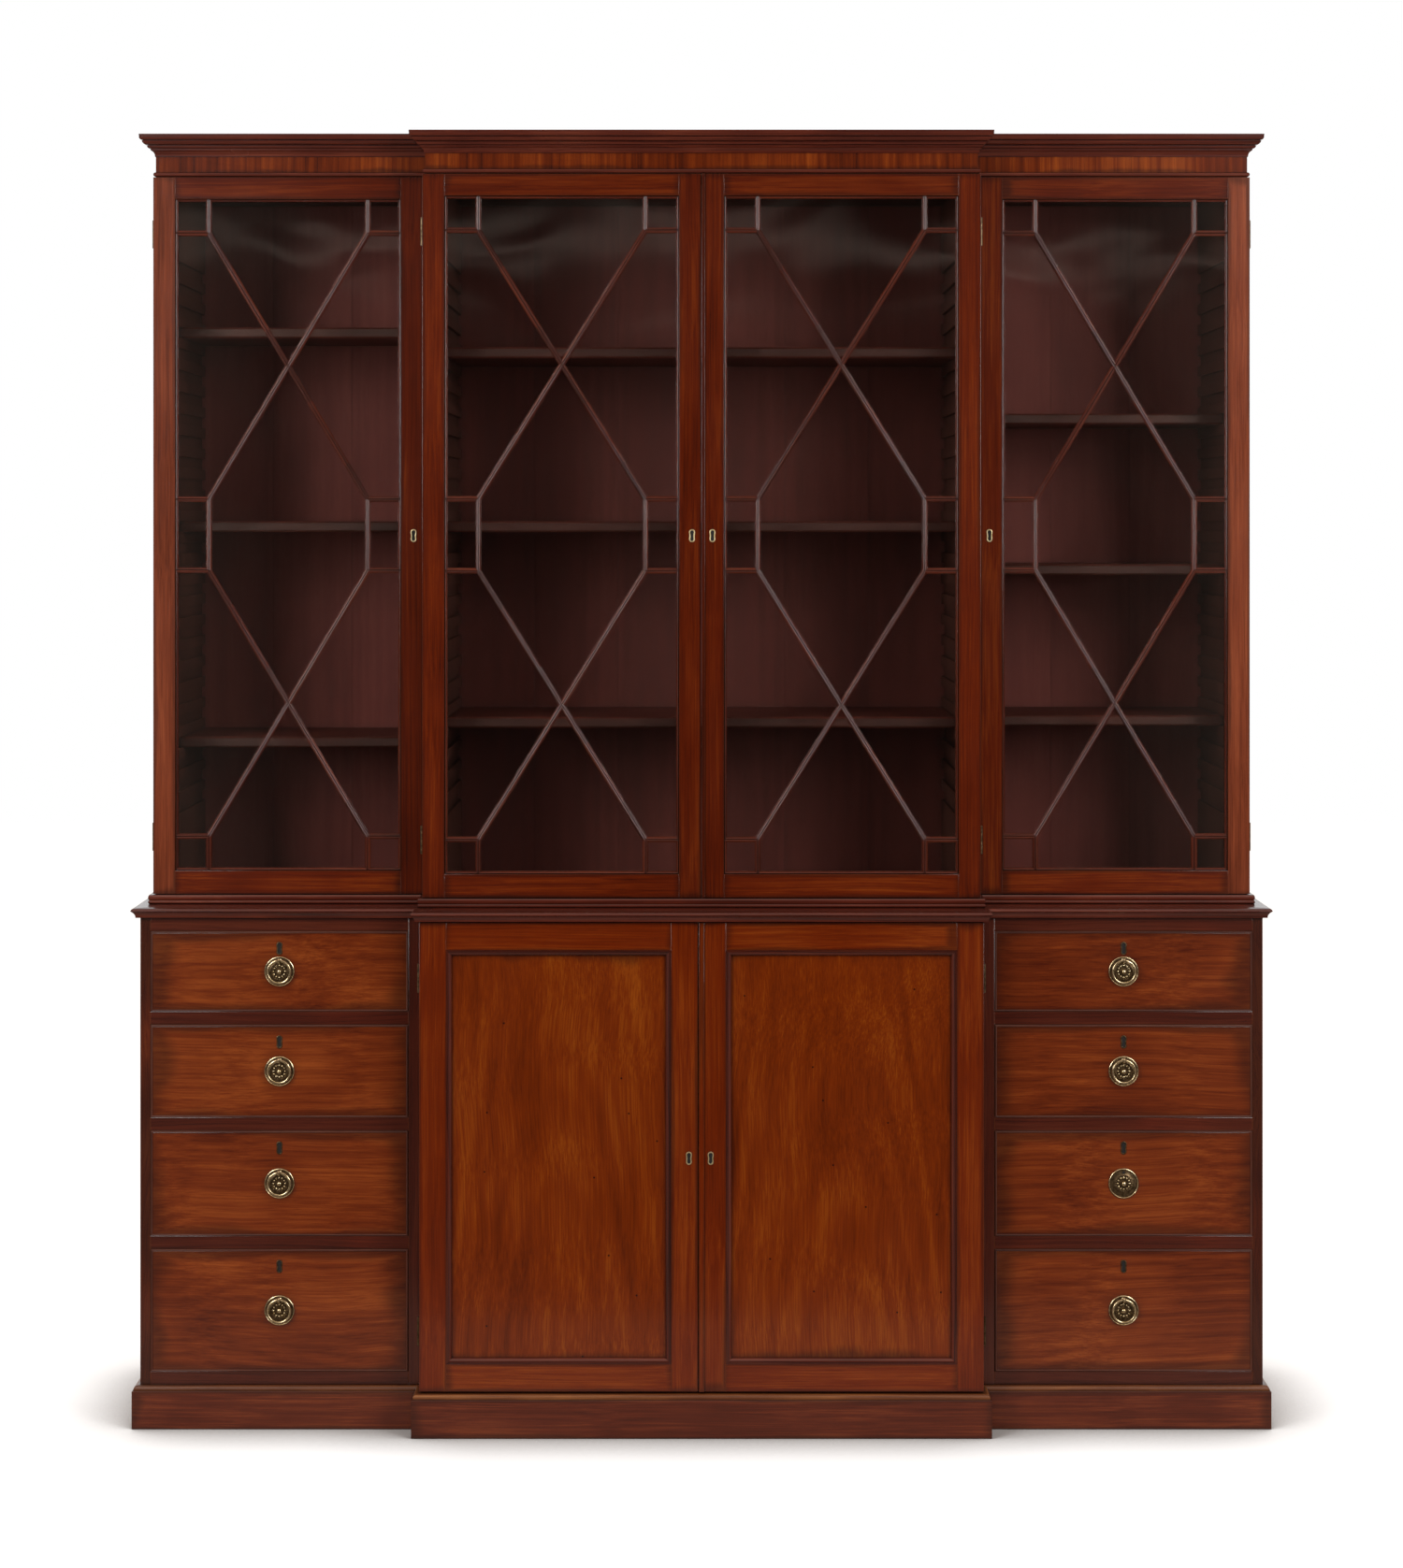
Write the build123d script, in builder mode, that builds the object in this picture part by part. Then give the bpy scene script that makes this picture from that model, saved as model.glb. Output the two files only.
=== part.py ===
"""Breakfront bookcase in mahogany.

Two stacked parts: a base with four graduated drawers in each wing and a two-door cupboard in the
projecting centre, and an upper case with four glazed doors under a frieze and a reeded cornice.

Millimetres. X runs to the right, Y to the back and Z up. The origin is on the floor, under the
middle of the case.
"""
import os

from build123d import *

os.makedirs("parts", exist_ok=True)

# The case in plan: widths are measured from its middle line, depths from its back
BASE_HALF = 990.0
UPPER_INSET = 12.0
CENTRE_HALF = 493.0
WING_DEPTH = 410.0
BREAK = 57.0
SETBACK = 62.0

# Boards of the base
PLINTH_HEIGHT = 76.0
PLINTH_PROJECTION = 13.0
PLINTH_SEAT = 12.0
PLINTH_CAP = 9.0
PLINTH_QUIRK = 1.2
OUTER_SIDE = 18.0
PARTITION = 24.0
CENTRE_SIDE = 18.0
BASE_FLOOR = 23.0
RAIL = 23.0
RAIL_DEPTH = 60.0
TOP_RAIL = 24.0
RUNNER_WIDTH = 40.0
DUST_PANEL = 6.0
BACK_PLANK = 10.0
PLANK_WIDTH = 150.0
CUPBOARD_SHELF = 18.0
CUPBOARD_SHELF_HEIGHT = 400.0
CLEAT = 20.0

# Top of the base and the moulding that the upper case stands behind
TOP_THICKNESS = 17.0
TOP_PROJECTION = 15.0
TOP_MARGIN = 20.0
TOP_NOSE = 5.0
TOP_FILLET = 7.5
TOP_FILLET_HEIGHT = 2.5
WAIST_HEIGHT = 16.0
WAIST_PROJECTION = 8.0
WAIST_LOWER_REED = 6.5
WAIST_QUIRK = 1.8

# Drawers, from the top one down
DRAWER_1_HEIGHT = 142.0
DRAWER_2_HEIGHT = 164.0
DRAWER_3_HEIGHT = 186.0
DRAWER_4_HEIGHT = 216.0
DRAWER_GAP = 0.75
RUNNING_GAP = 0.3
DRAWER_FRONT = 20.0
DRAWER_LENGTH = 370.0
DRAWER_WALL = 11.0
DRAWER_BOTTOM = 6.0
DRAWER_BOTTOM_RISE = 8.0
DRAWER_WALL_DROP = 5.0
DRAWER_BACK_DROP = 14.0
COCK_BEAD = 3.0
BEAD_PROUD = 1.5

# Boards of the upper case
UPPER_HEIGHT = 1297.0
UPPER_SIDE = 20.0
UPPER_BOARD = 18.0
CHEEK = 19.0
GROOVE_DEPTH = 6.0
GROOVE_PITCH = 39.0
FIRST_GROOVE = 138.0
GROOVE_COUNT = 26
SHELF = 19.0
SHELF_SETBACK = 60.0
SHELF_EASE = 0.6
SHELF_ROUND = 3.0

# Grooves that hold the three shelves of each bay, counted up from the lowest
LEFT_SHELF_GROOVES = (3, 13, 22)
CENTRE_SHELF_GROOVES = (4, 13, 21)
RIGHT_SHELF_GROOVES = (4, 11, 18)

# Frieze, set a little behind the faces of the doors, and its cornice
FRIEZE_SET = 4.0
FRIEZE_BOARD = 18.0
FRIEZE_HEIGHT = 28.0
ASTRAGAL = 8.0
CORNICE_FILLET = 1.5
CORNICE_FILLET_HEIGHT = 2.0
CORNICE_COVE = 8.5
CORNICE_COVE_REACH = 6.5
CORNICE_STEP = 2.0
SMALL_REED = 6.0
SMALL_REED_REACH = 4.0
MIDDLE_REED = 8.0
MIDDLE_REED_REACH = 8.0
BROAD_REED = 8.0
BROAD_REED_REACH = 4.0
CORNICE_CAP = 3.5
CORNICE_CAP_REACH = 2.0

# Glazed doors
GLAZED_DOOR = 22.0
DOOR_GAP = 0.6
STILE = 39.0
TOP_RAIL_OF_DOOR = 38.5
FOOT_RAIL_OF_DOOR = 41.5
SWING_GAP = 4.5
MEETING_GAP = 1.5
HEAD_GAP = 1.0
MEETING_BEAD = 5.0
MEETING_BEAD_PROUD = 2.5
BAR_WIDTH = 10.0
BAR_DEPTH = 6.0
BAR_SETBACK = 2.5
BAR_BEVEL = 3.0
RIB = 3.0
RIB_DEPTH = 9.0
CORNER_BOX_WIDTH = 59.5
CORNER_BOX_HEIGHT = 61.0
MIDDLE_BOX_HEIGHT = 127.0
GLASS = 2.5
GLASS_EASE = 0.3

# Cupboard doors
CUPBOARD_DOOR = 20.0
CUPBOARD_STILE = 47.0
CUPBOARD_RAIL = 48.0
CUPBOARD_DOOR_RISE = 3.0
CUPBOARD_DOOR_DROP = 2.0
CUPBOARD_BEAD = 9.0
PANEL = 9.0
PANEL_SETBACK = 7.0
PANEL_MOULDING = 10.0
PANEL_MOULDING_PROUD = 0.8

# Butt hinges, let into the door and the case
HINGE_HEIGHT = 50.0
HINGE_LEAF = 1.4
HINGE_LEAF_WIDTH = 16.0
HINGE_INSET = 75.0
KNUCKLE_RADIUS = 2.5
KNUCKLE_CLEAR = 0.3
KNUCKLE_GAP = 0.3
PIN_RADIUS = 1.3
PIN_EASE = 0.1
HINGE_FLATS = 6

# Locks and their keyhole plates
LOCK_WIDTH = 30.0
LOCK_HEIGHT = 46.0
LOCK_DEPTH = 9.0
PLATE_ROUND = 5.8
PLATE_FOOT = 10.0
PLATE_HEIGHT = 23.0
PLATE_PROUD = 0.8
KEYHOLE_WIDTH = 5.6
KEYHOLE_HEIGHT = 16.5
KEYHOLE_FLATS = 6
KEYHOLE_FROM_EDGE = 16.0
PLATE_SPREAD = 85.0
CUPBOARD_KEYHOLE_DROP = 2.0
DRAWER_KEYHOLE_DROP = 30.0

# Ring pulls
PULL_RADIUS = 26.5
PULL_PLATE = 1.6
PULL_FLATS = 12
BOSS_RADIUS = 9.0
BOSS_BEVEL = 5.0
BOSS_REACH = 6.5
BOSS_FLATS = 8
RING_RADIUS = 19.8
RING_WIRE = 2.2
RING_FLATS = 12
WIRE_FLATS = 5
RING_STANDOFF = 7.0
EYE_RADIUS = 5.0
EYE_BORE = 2.7
EYE_THICKNESS = 5.0
EYE_HOLE = 3.2
PULLS_WITHOUT_RING = ("right_drawer_3",)

# How far cuts and lengths run past what they cut, and how the mouldings' arcs are drawn
OVERRUN = 80.0
ARC_FLATS = 3
BULGE_SHARE = 0.25

# Planes of the case, worked out from the sizes above
UPPER_HALF = BASE_HALF - UPPER_INSET
BACK = (WING_DEPTH + BREAK + max(PLINTH_PROJECTION, TOP_PROJECTION)) / 2
BASE_WING = BACK - WING_DEPTH
BASE_CENTRE = BASE_WING - BREAK
UPPER_WING = BASE_WING + SETBACK
UPPER_CENTRE = UPPER_WING - BREAK
FLOOR_TOP = PLINTH_HEIGHT + BASE_FLOOR
DRAWER_HEIGHTS = (DRAWER_1_HEIGHT, DRAWER_2_HEIGHT, DRAWER_3_HEIGHT, DRAWER_4_HEIGHT)
BASE_HEAD = FLOOR_TOP + sum(DRAWER_HEIGHTS) + (len(DRAWER_HEIGHTS) - 1) * RAIL + TOP_RAIL
BASE_HEIGHT = BASE_HEAD + TOP_THICKNESS
UPPER_HEAD = BASE_HEIGHT + UPPER_HEIGHT
UPPER_FLOOR = BASE_HEIGHT + UPPER_BOARD
FRIEZE_TOP = UPPER_HEAD + ASTRAGAL + FRIEZE_HEIGHT
REED_HEIGHT = SMALL_REED + MIDDLE_REED + BROAD_REED
CORNICE_HEIGHT = CORNICE_FILLET_HEIGHT + CORNICE_COVE + CORNICE_STEP + REED_HEIGHT + CORNICE_CAP
CORNICE_TOP = FRIEZE_TOP + CORNICE_HEIGHT
DOOR_FOOT = BASE_HEIGHT + WAIST_HEIGHT + HEAD_GAP
DOOR_HEAD = UPPER_HEAD - HEAD_GAP
CUPBOARD_FOOT = PLINTH_HEIGHT + CUPBOARD_DOOR_RISE
CUPBOARD_HEAD = BASE_HEAD - CUPBOARD_DOOR_DROP
CUPBOARD_CASE = BASE_CENTRE + CUPBOARD_DOOR + DOOR_GAP
RING_PLANE = BASE_WING - PULL_PLATE - RING_STANDOFF
DRAWER_LEFT = -BASE_HALF + OUTER_SIDE
DRAWER_RIGHT = -CENTRE_HALF - PARTITION


UP = Vector(0, 0, 1)
FORWARD = Vector(0, -1, 0)


def drawer_floors():
    """Height of the ledge under each drawer, from the top drawer down."""
    floors = []
    head = BASE_HEAD - TOP_RAIL
    for height in DRAWER_HEIGHTS:
        floors.append(head - height)
        head -= height + RAIL
    return floors


def write(node, solids):
    """Keep the pieces of one node together, each still its own solid, and write its file."""
    group = Compound(solids, label=node)
    export_step(group, f"parts/{node}.step")


def board(low, high, pockets=()):
    """One square-edged board between two opposite corners, less the pockets cut into it."""
    with BuildPart() as piece:
        with BuildSketch(Plane(origin=low)):
            Rectangle(high[0] - low[0], high[1] - low[1], align=(Align.MIN, Align.MIN))
        extrude(amount=high[2] - low[2])
        for pocket_low, pocket_high in pockets:
            with BuildSketch(Plane(origin=pocket_low)):
                wide = pocket_high[0] - pocket_low[0]
                Rectangle(wide, pocket_high[1] - pocket_low[1], align=(Align.MIN, Align.MIN))
            extrude(amount=pocket_high[2] - pocket_low[2], mode=Mode.SUBTRACT)
    return piece.part.solid()


def across(low, high, side):
    """The same pair of corners, or their mirror image when side is minus one."""
    if side > 0:
        return low, high
    return (-high[0], low[1], low[2]), (-low[0], high[1], high[2])


def mitred_run(profile, corners, up, closed=False):
    """Lengths of one moulding along straight runs, mitred where they meet.

    The profile's x is how far it stands out from the run and its y goes along up.
    """
    points = [Vector(*corner) for corner in corners]
    if closed:
        points.append(points[0])
    runs = [(end - start).normalized() for start, end in zip(points, points[1:])]
    lengths = []
    for index, along in enumerate(runs):
        if closed:
            before = runs[index - 1]
            after = runs[(index + 1) % len(runs)]
        else:
            before = runs[max(index - 1, 0)]
            after = runs[min(index + 1, len(runs) - 1)]
        start = points[index]
        end = points[index + 1]
        section = Plane(origin=end + along * OVERRUN, x_dir=along.cross(up), z_dir=-along)
        with BuildPart() as length:
            with BuildSketch(section):
                add(profile)
            extrude(amount=(end - start).length + OVERRUN + OVERRUN)
            split(bisect_by=Plane(origin=start, z_dir=along + before), keep=Keep.TOP)
            split(bisect_by=Plane(origin=end, z_dir=along + after), keep=Keep.BOTTOM)
        lengths.append(length.part.solid())
    return lengths


def inner_line(low, high):
    """Corners of an upright rectangle, in the order that turns a moulding's face inwards."""
    x_low, y, z_low = low
    x_high, y, z_high = high
    return [(x_high, y, z_low), (x_low, y, z_low), (x_low, y, z_high), (x_high, y, z_high)]


def bow(start, end, rise):
    """An arc from start to end drawn as a few flats, so that a long moulding has few faces."""
    arc = SagittaArc(start, end, rise, mode=Mode.PRIVATE)
    Polyline(*[arc @ (index / ARC_FLATS) for index in range(ARC_FLATS + 1)])


def breakfront(half, wing_face, height):
    """The line of a moulding round the sides and the stepped front, from the back left corner."""
    centre_face = wing_face - BREAK
    plan = [(-half, BACK), (-half, wing_face), (-CENTRE_HALF, wing_face), (-CENTRE_HALF, centre_face)]
    plan += [(-x, y) for x, y in reversed(plan)]
    return [(x, y, height) for x, y in plan]


# Plinth: boards with a rounded cap, a board across the back and two bearers under the partitions
def plinth_profile():
    cap_foot = PLINTH_HEIGHT - PLINTH_CAP
    with BuildSketch() as profile:
        with BuildLine():
            Polyline(
                (PLINTH_PROJECTION - PLINTH_CAP, PLINTH_HEIGHT),
                (-PLINTH_SEAT, PLINTH_HEIGHT),
                (-PLINTH_SEAT, 0),
                (PLINTH_PROJECTION, 0),
                (PLINTH_PROJECTION, cap_foot - PLINTH_QUIRK),
                (PLINTH_PROJECTION - PLINTH_QUIRK, cap_foot),
            )
            cap_start = (PLINTH_PROJECTION - PLINTH_QUIRK, cap_foot)
            bow(cap_start, (PLINTH_PROJECTION - PLINTH_CAP, PLINTH_HEIGHT), PLINTH_CAP * BULGE_SHARE)
        make_face()
    return profile.sketch


plinth = mitred_run(plinth_profile(), breakfront(BASE_HALF, BASE_WING, 0), UP)
inside = BASE_HALF - PLINTH_SEAT
plinth_back = BACK - CENTRE_SIDE
plinth.append(board((-inside, plinth_back, 0), (inside, BACK, PLINTH_HEIGHT)))
for side in (-1, 1):
    low = (CENTRE_HALF - PLINTH_SEAT, BASE_WING + PLINTH_SEAT, 0)
    high = (CENTRE_HALF + PLINTH_SEAT, plinth_back, PLINTH_HEIGHT)
    plinth.append(board(*across(low, high, side)))
write("plinth", plinth)


# Hinges: the height of the foot of each leaf, and the pocket that a leaf lies in
def hinge_feet(door_foot, door_head):
    return (door_foot + HINGE_INSET, door_head - HINGE_INSET - HINGE_HEIGHT)


def leaf_pockets(edge, side, y_low, y_high, feet):
    """Pockets along a case side or a door stile, for leaves that start at its outer edge."""
    pockets = []
    for foot in feet:
        low = (edge - HINGE_LEAF_WIDTH, y_low, foot)
        high = (edge, y_high, foot + HINGE_HEIGHT)
        pockets.append(across(low, high, side))
    return pockets


def case_pockets(edge, side, case_front, feet):
    return leaf_pockets(edge, side, case_front, case_front + HINGE_LEAF, feet)


CUPBOARD_HINGES = hinge_feet(CUPBOARD_FOOT, CUPBOARD_HEAD)
GLAZED_HINGES = hinge_feet(DOOR_FOOT, DOOR_HEAD)

# Carcass of the base: sides, partitions, floors, rails and the cupboard's shelf
plank_face = BACK - BACK_PLANK
rail_foot = BASE_HEAD - TOP_RAIL
inner_half = CENTRE_HALF - CENTRE_SIDE
base_carcass = []
for side in (-1, 1):
    cupboard_pockets = case_pockets(CENTRE_HALF, side, CUPBOARD_CASE, CUPBOARD_HINGES)
    outer_side = ((BASE_HALF - OUTER_SIDE, BASE_WING, PLINTH_HEIGHT), (BASE_HALF, BACK, BASE_HEAD))
    partition = ((CENTRE_HALF, BASE_WING, PLINTH_HEIGHT), (-DRAWER_RIGHT, BACK, BASE_HEAD))
    centre_side = ((inner_half, CUPBOARD_CASE, PLINTH_HEIGHT), (CENTRE_HALF, BACK, BASE_HEAD))
    wing_floor = ((-DRAWER_RIGHT, BASE_WING, PLINTH_HEIGHT), (-DRAWER_LEFT, BACK, FLOOR_TOP))
    front_rail = ((-DRAWER_RIGHT, BASE_WING, rail_foot), (-DRAWER_LEFT, BASE_WING + RAIL_DEPTH, BASE_HEAD))
    back_rail = ((-DRAWER_RIGHT, plank_face - RAIL, rail_foot), (-DRAWER_LEFT, plank_face, BASE_HEAD))
    for corners in (outer_side, partition, wing_floor, front_rail, back_rail):
        base_carcass.append(board(*across(*corners, side)))
    base_carcass.append(board(*across(*centre_side, side), cupboard_pockets))
    cleat_top = FLOOR_TOP + CUPBOARD_SHELF_HEIGHT
    cleat_low = (inner_half - CLEAT, CUPBOARD_CASE + CLEAT, cleat_top - CLEAT)
    base_carcass.append(board(*across(cleat_low, (inner_half, plank_face, cleat_top), side)))
base_carcass.append(board((-inner_half, CUPBOARD_CASE, PLINTH_HEIGHT), (inner_half, BACK, FLOOR_TOP)))
rail_back = CUPBOARD_CASE + RAIL_DEPTH
base_carcass.append(board((-inner_half, CUPBOARD_CASE, rail_foot), (inner_half, rail_back, BASE_HEAD)))
base_carcass.append(board((-inner_half, plank_face - RAIL, rail_foot), (inner_half, plank_face, BASE_HEAD)))
shelf_low = (-inner_half, CUPBOARD_CASE + CLEAT, cleat_top)
base_carcass.append(board(shelf_low, (inner_half, plank_face, cleat_top + CUPBOARD_SHELF)))
write("base_carcass", base_carcass)

# Between the drawers: a front rail, two runners and a thin dust panel at each level
drawer_dividers = []
for side in (-1, 1):
    for floor in drawer_floors()[:-1]:
        rail_back = BASE_WING + RAIL_DEPTH
        rail = ((-DRAWER_RIGHT, BASE_WING, floor - RAIL), (-DRAWER_LEFT, rail_back, floor))
        runner_low = floor - RAIL
        near = ((-DRAWER_RIGHT, rail_back, runner_low), (-DRAWER_RIGHT + RUNNER_WIDTH, plank_face, floor))
        far = ((-DRAWER_LEFT - RUNNER_WIDTH, rail_back, runner_low), (-DRAWER_LEFT, plank_face, floor))
        middle = floor - RAIL / 2
        panel_low = (-DRAWER_RIGHT + RUNNER_WIDTH, rail_back, middle - DUST_PANEL / 2)
        panel = (panel_low, (-DRAWER_LEFT - RUNNER_WIDTH, plank_face, middle + DUST_PANEL / 2))
        for corners in (rail, near, far, panel):
            drawer_dividers.append(board(*across(*corners, side)))
write("drawer_dividers", drawer_dividers)


def planks(x_low, x_high, z_low, z_high):
    """Upright back boards that fill the width between two sides."""
    count = max(1, round((x_high - x_low) / PLANK_WIDTH))
    width = (x_high - x_low) / count
    boards = []
    for index in range(count):
        left = x_low + index * width
        boards.append(board((left, BACK - BACK_PLANK, z_low), (left + width, BACK, z_high)))
    return boards


base_backboards = planks(DRAWER_LEFT, DRAWER_RIGHT, FLOOR_TOP, BASE_HEAD)
base_backboards += planks(-inner_half, inner_half, FLOOR_TOP, BASE_HEAD)
base_backboards += planks(-DRAWER_RIGHT, -DRAWER_LEFT, FLOOR_TOP, BASE_HEAD)
write("base_backboards", base_backboards)


# Top of the base: three boards inside a thumb-moulded edge, and the waist moulding on them
def top_profile():
    nose = TOP_PROJECTION - TOP_NOSE
    with BuildSketch() as profile:
        with BuildLine():
            bow((TOP_PROJECTION, TOP_THICKNESS - TOP_NOSE), (nose, TOP_THICKNESS), TOP_NOSE * BULGE_SHARE)
            Polyline(
                (nose, TOP_THICKNESS),
                (-TOP_MARGIN, TOP_THICKNESS),
                (-TOP_MARGIN, 0),
                (TOP_FILLET, 0),
                (TOP_FILLET, TOP_FILLET_HEIGHT),
            )
            hollow_end = (TOP_PROJECTION, TOP_THICKNESS - TOP_NOSE)
            bow((TOP_FILLET, TOP_FILLET_HEIGHT), hollow_end, -TOP_NOSE * BULGE_SHARE)
        make_face()
    return profile.sketch


def waist_profile():
    quirk = WAIST_PROJECTION - WAIST_QUIRK
    with BuildSketch() as profile:
        with BuildLine():
            Polyline((quirk, WAIST_HEIGHT), (0, WAIST_HEIGHT), (0, 0), (quirk, 0))
            bow((quirk, 0), (quirk, WAIST_LOWER_REED), WAIST_QUIRK)
            bow((quirk, WAIST_LOWER_REED), (quirk, WAIST_HEIGHT), WAIST_QUIRK)
        make_face()
    return profile.sketch


base_top = mitred_run(top_profile(), breakfront(BASE_HALF, BASE_WING, BASE_HEAD), UP)
board_half = CENTRE_HALF - TOP_MARGIN
for side in (-1, 1):
    low = (board_half, BASE_WING + TOP_MARGIN, BASE_HEAD)
    high = (BASE_HALF - TOP_MARGIN, BACK, BASE_HEIGHT)
    base_top.append(board(*across(low, high, side)))
base_top.append(board((-board_half, BASE_CENTRE + TOP_MARGIN, BASE_HEAD), (board_half, BACK, BASE_HEIGHT)))
base_top += mitred_run(waist_profile(), breakfront(UPPER_HALF, UPPER_WING, BASE_HEIGHT), UP)
write("base_top", base_top)

# Bays of the upper case: low x, high x, face of the doors, and the case edge behind them
CASE_SET = GLAZED_DOOR + DOOR_GAP
LEFT_BAY = (-UPPER_HALF, -CENTRE_HALF, UPPER_WING)
CENTRE_BAY = (-CENTRE_HALF, CENTRE_HALF, UPPER_CENTRE)
RIGHT_BAY = (CENTRE_HALF, UPPER_HALF, UPPER_WING)


def cheek(x_low, x_high, groove_face, front):
    """Lining of a side, cut with a ladder of grooves for the ends of the shelves."""
    ceiling = UPPER_HEAD - UPPER_BOARD
    first = UPPER_FLOOR + FIRST_GROOVE
    ladder_middle = first + (GROOVE_COUNT - 1) * GROOVE_PITCH / 2 + (SHELF + SHELF_EASE) / 2
    with BuildPart() as lining:
        with BuildSketch(Plane.XZ.offset(-front)):
            with Locations(((x_low + x_high) / 2, (UPPER_FLOOR + ceiling) / 2)):
                Rectangle(x_high - x_low, ceiling - UPPER_FLOOR)
            with Locations((groove_face, ladder_middle)):
                with GridLocations(0, GROOVE_PITCH, 1, GROOVE_COUNT):
                    Rectangle(GROOVE_DEPTH + GROOVE_DEPTH, SHELF + SHELF_EASE, mode=Mode.SUBTRACT)
        extrude(amount=-(BACK - BACK_PLANK - front))
    return lining.part.solid()


def upper_bay(bay, left_pockets, right_pockets):
    """Sides, grooved cheeks, floor, head and foot rail of one bay."""
    x_low, x_high, face = bay
    front = face + CASE_SET
    inner_low = x_low + UPPER_SIDE
    inner_high = x_high - UPPER_SIDE
    left = board((x_low, front, BASE_HEIGHT), (inner_low, BACK, UPPER_HEAD), left_pockets)
    right = board((inner_high, front, BASE_HEIGHT), (x_high, BACK, UPPER_HEAD), right_pockets)
    floor = board((inner_low, front, BASE_HEIGHT), (inner_high, BACK, UPPER_FLOOR))
    head = board((inner_low, front, UPPER_HEAD - UPPER_BOARD), (inner_high, BACK, UPPER_HEAD))
    foot_rail = board((x_low, face, BASE_HEIGHT), (x_high, front, BASE_HEIGHT + WAIST_HEIGHT))
    cheeks = [
        cheek(inner_low, inner_low + CHEEK, inner_low + CHEEK, front),
        cheek(inner_high - CHEEK, inner_high, inner_high - CHEEK, front),
    ]
    return [left, right, floor, head, foot_rail] + cheeks


wing_case = UPPER_WING + CASE_SET
centre_case = UPPER_CENTRE + CASE_SET
upper_carcass = upper_bay(LEFT_BAY, case_pockets(UPPER_HALF, -1, wing_case, GLAZED_HINGES), ())
upper_carcass += upper_bay(
    CENTRE_BAY,
    case_pockets(CENTRE_HALF, -1, centre_case, GLAZED_HINGES),
    case_pockets(CENTRE_HALF, 1, centre_case, GLAZED_HINGES),
)
upper_carcass += upper_bay(RIGHT_BAY, (), case_pockets(UPPER_HALF, 1, wing_case, GLAZED_HINGES))
write("upper_carcass", upper_carcass)

upper_backboards = []
for bay in (LEFT_BAY, CENTRE_BAY, RIGHT_BAY):
    plank_span = (bay[0] + UPPER_SIDE, bay[1] - UPPER_SIDE)
    upper_backboards += planks(*plank_span, UPPER_FLOOR, UPPER_HEAD - UPPER_BOARD)
write("upper_backboards", upper_backboards)


def shelf(bay, groove):
    """A loose shelf with a rounded front edge, its ends in one pair of grooves."""
    x_low, x_high, face = bay
    reach = UPPER_SIDE + CHEEK - GROOVE_DEPTH + SHELF_EASE
    foot = UPPER_FLOOR + FIRST_GROOVE + groove * GROOVE_PITCH
    front = face + CASE_SET + SHELF_SETBACK
    with BuildPart() as piece:
        with BuildSketch(Plane.XY.offset(foot)):
            with Locations(((x_low + x_high) / 2, (front + BACK - BACK_PLANK) / 2)):
                Rectangle(x_high - x_low - reach - reach, BACK - BACK_PLANK - front)
        extrude(amount=SHELF)
        front_edges = piece.faces().sort_by(Axis.Y)[0].edges().filter_by(Axis.X)
        chamfer(front_edges, length=SHELF_ROUND)
    return piece.part.solid()


write("shelves_left", [shelf(LEFT_BAY, groove) for groove in LEFT_SHELF_GROOVES])
write("shelves_centre", [shelf(CENTRE_BAY, groove) for groove in CENTRE_SHELF_GROOVES])
write("shelves_right", [shelf(RIGHT_BAY, groove) for groove in RIGHT_SHELF_GROOVES])


# Frieze boards with an astragal along their lower edge; they stand up behind the cornice
def frieze_profile():
    with BuildSketch() as profile:
        with BuildLine():
            Polyline(
                (0, ASTRAGAL),
                (0, CORNICE_TOP - UPPER_HEAD),
                (-FRIEZE_BOARD, CORNICE_TOP - UPPER_HEAD),
                (-FRIEZE_BOARD, 0),
                (0, 0),
            )
            bow((0, 0), (0, ASTRAGAL), FRIEZE_SET)
        make_face()
    return profile.sketch


def frieze_line(height):
    """Line of the frieze's face: the breakfront line of the doors, drawn in all round."""
    line = []
    for x, y, z in breakfront(UPPER_HALF, UPPER_WING, height):
        inward = -FRIEZE_SET if x > 0 else FRIEZE_SET
        line.append((x + inward, y if y == BACK else y + FRIEZE_SET, z))
    return line


frieze = mitred_run(frieze_profile(), frieze_line(UPPER_HEAD), UP)
between = UPPER_HALF - FRIEZE_SET - FRIEZE_BOARD
frieze.append(board((-between, BACK - FRIEZE_BOARD, UPPER_HEAD), (between, BACK, CORNICE_TOP)))
write("frieze", frieze)


# Cornice: a fillet and a cove under three reeds that step outwards, and a square cap
def cornice_profile():
    reeds = (
        (SMALL_REED, SMALL_REED_REACH),
        (MIDDLE_REED, MIDDLE_REED_REACH),
        (BROAD_REED, BROAD_REED_REACH),
    )
    reach = CORNICE_FILLET + CORNICE_COVE_REACH
    rise = CORNICE_FILLET_HEIGHT + CORNICE_COVE
    with BuildSketch() as profile:
        with BuildLine():
            foot = (CORNICE_FILLET, CORNICE_FILLET_HEIGHT)
            Polyline((0, CORNICE_HEIGHT), (0, 0), (CORNICE_FILLET, 0), foot)
            bow(foot, (reach, rise), -CORNICE_COVE_REACH * BULGE_SHARE)
            Line((reach, rise), (reach, rise + CORNICE_STEP))
            rise += CORNICE_STEP
            for height, step in reeds:
                bow((reach, rise), (reach + step, rise + height), height * BULGE_SHARE)
                reach += step
                rise += height
            cap = reach + CORNICE_CAP_REACH
            Polyline((reach, rise), (cap, rise), (cap, CORNICE_HEIGHT), (0, CORNICE_HEIGHT))
        make_face()
    return profile.sketch


cornice = mitred_run(cornice_profile(), frieze_line(FRIEZE_TOP), UP)
write("cornice", cornice)


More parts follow.
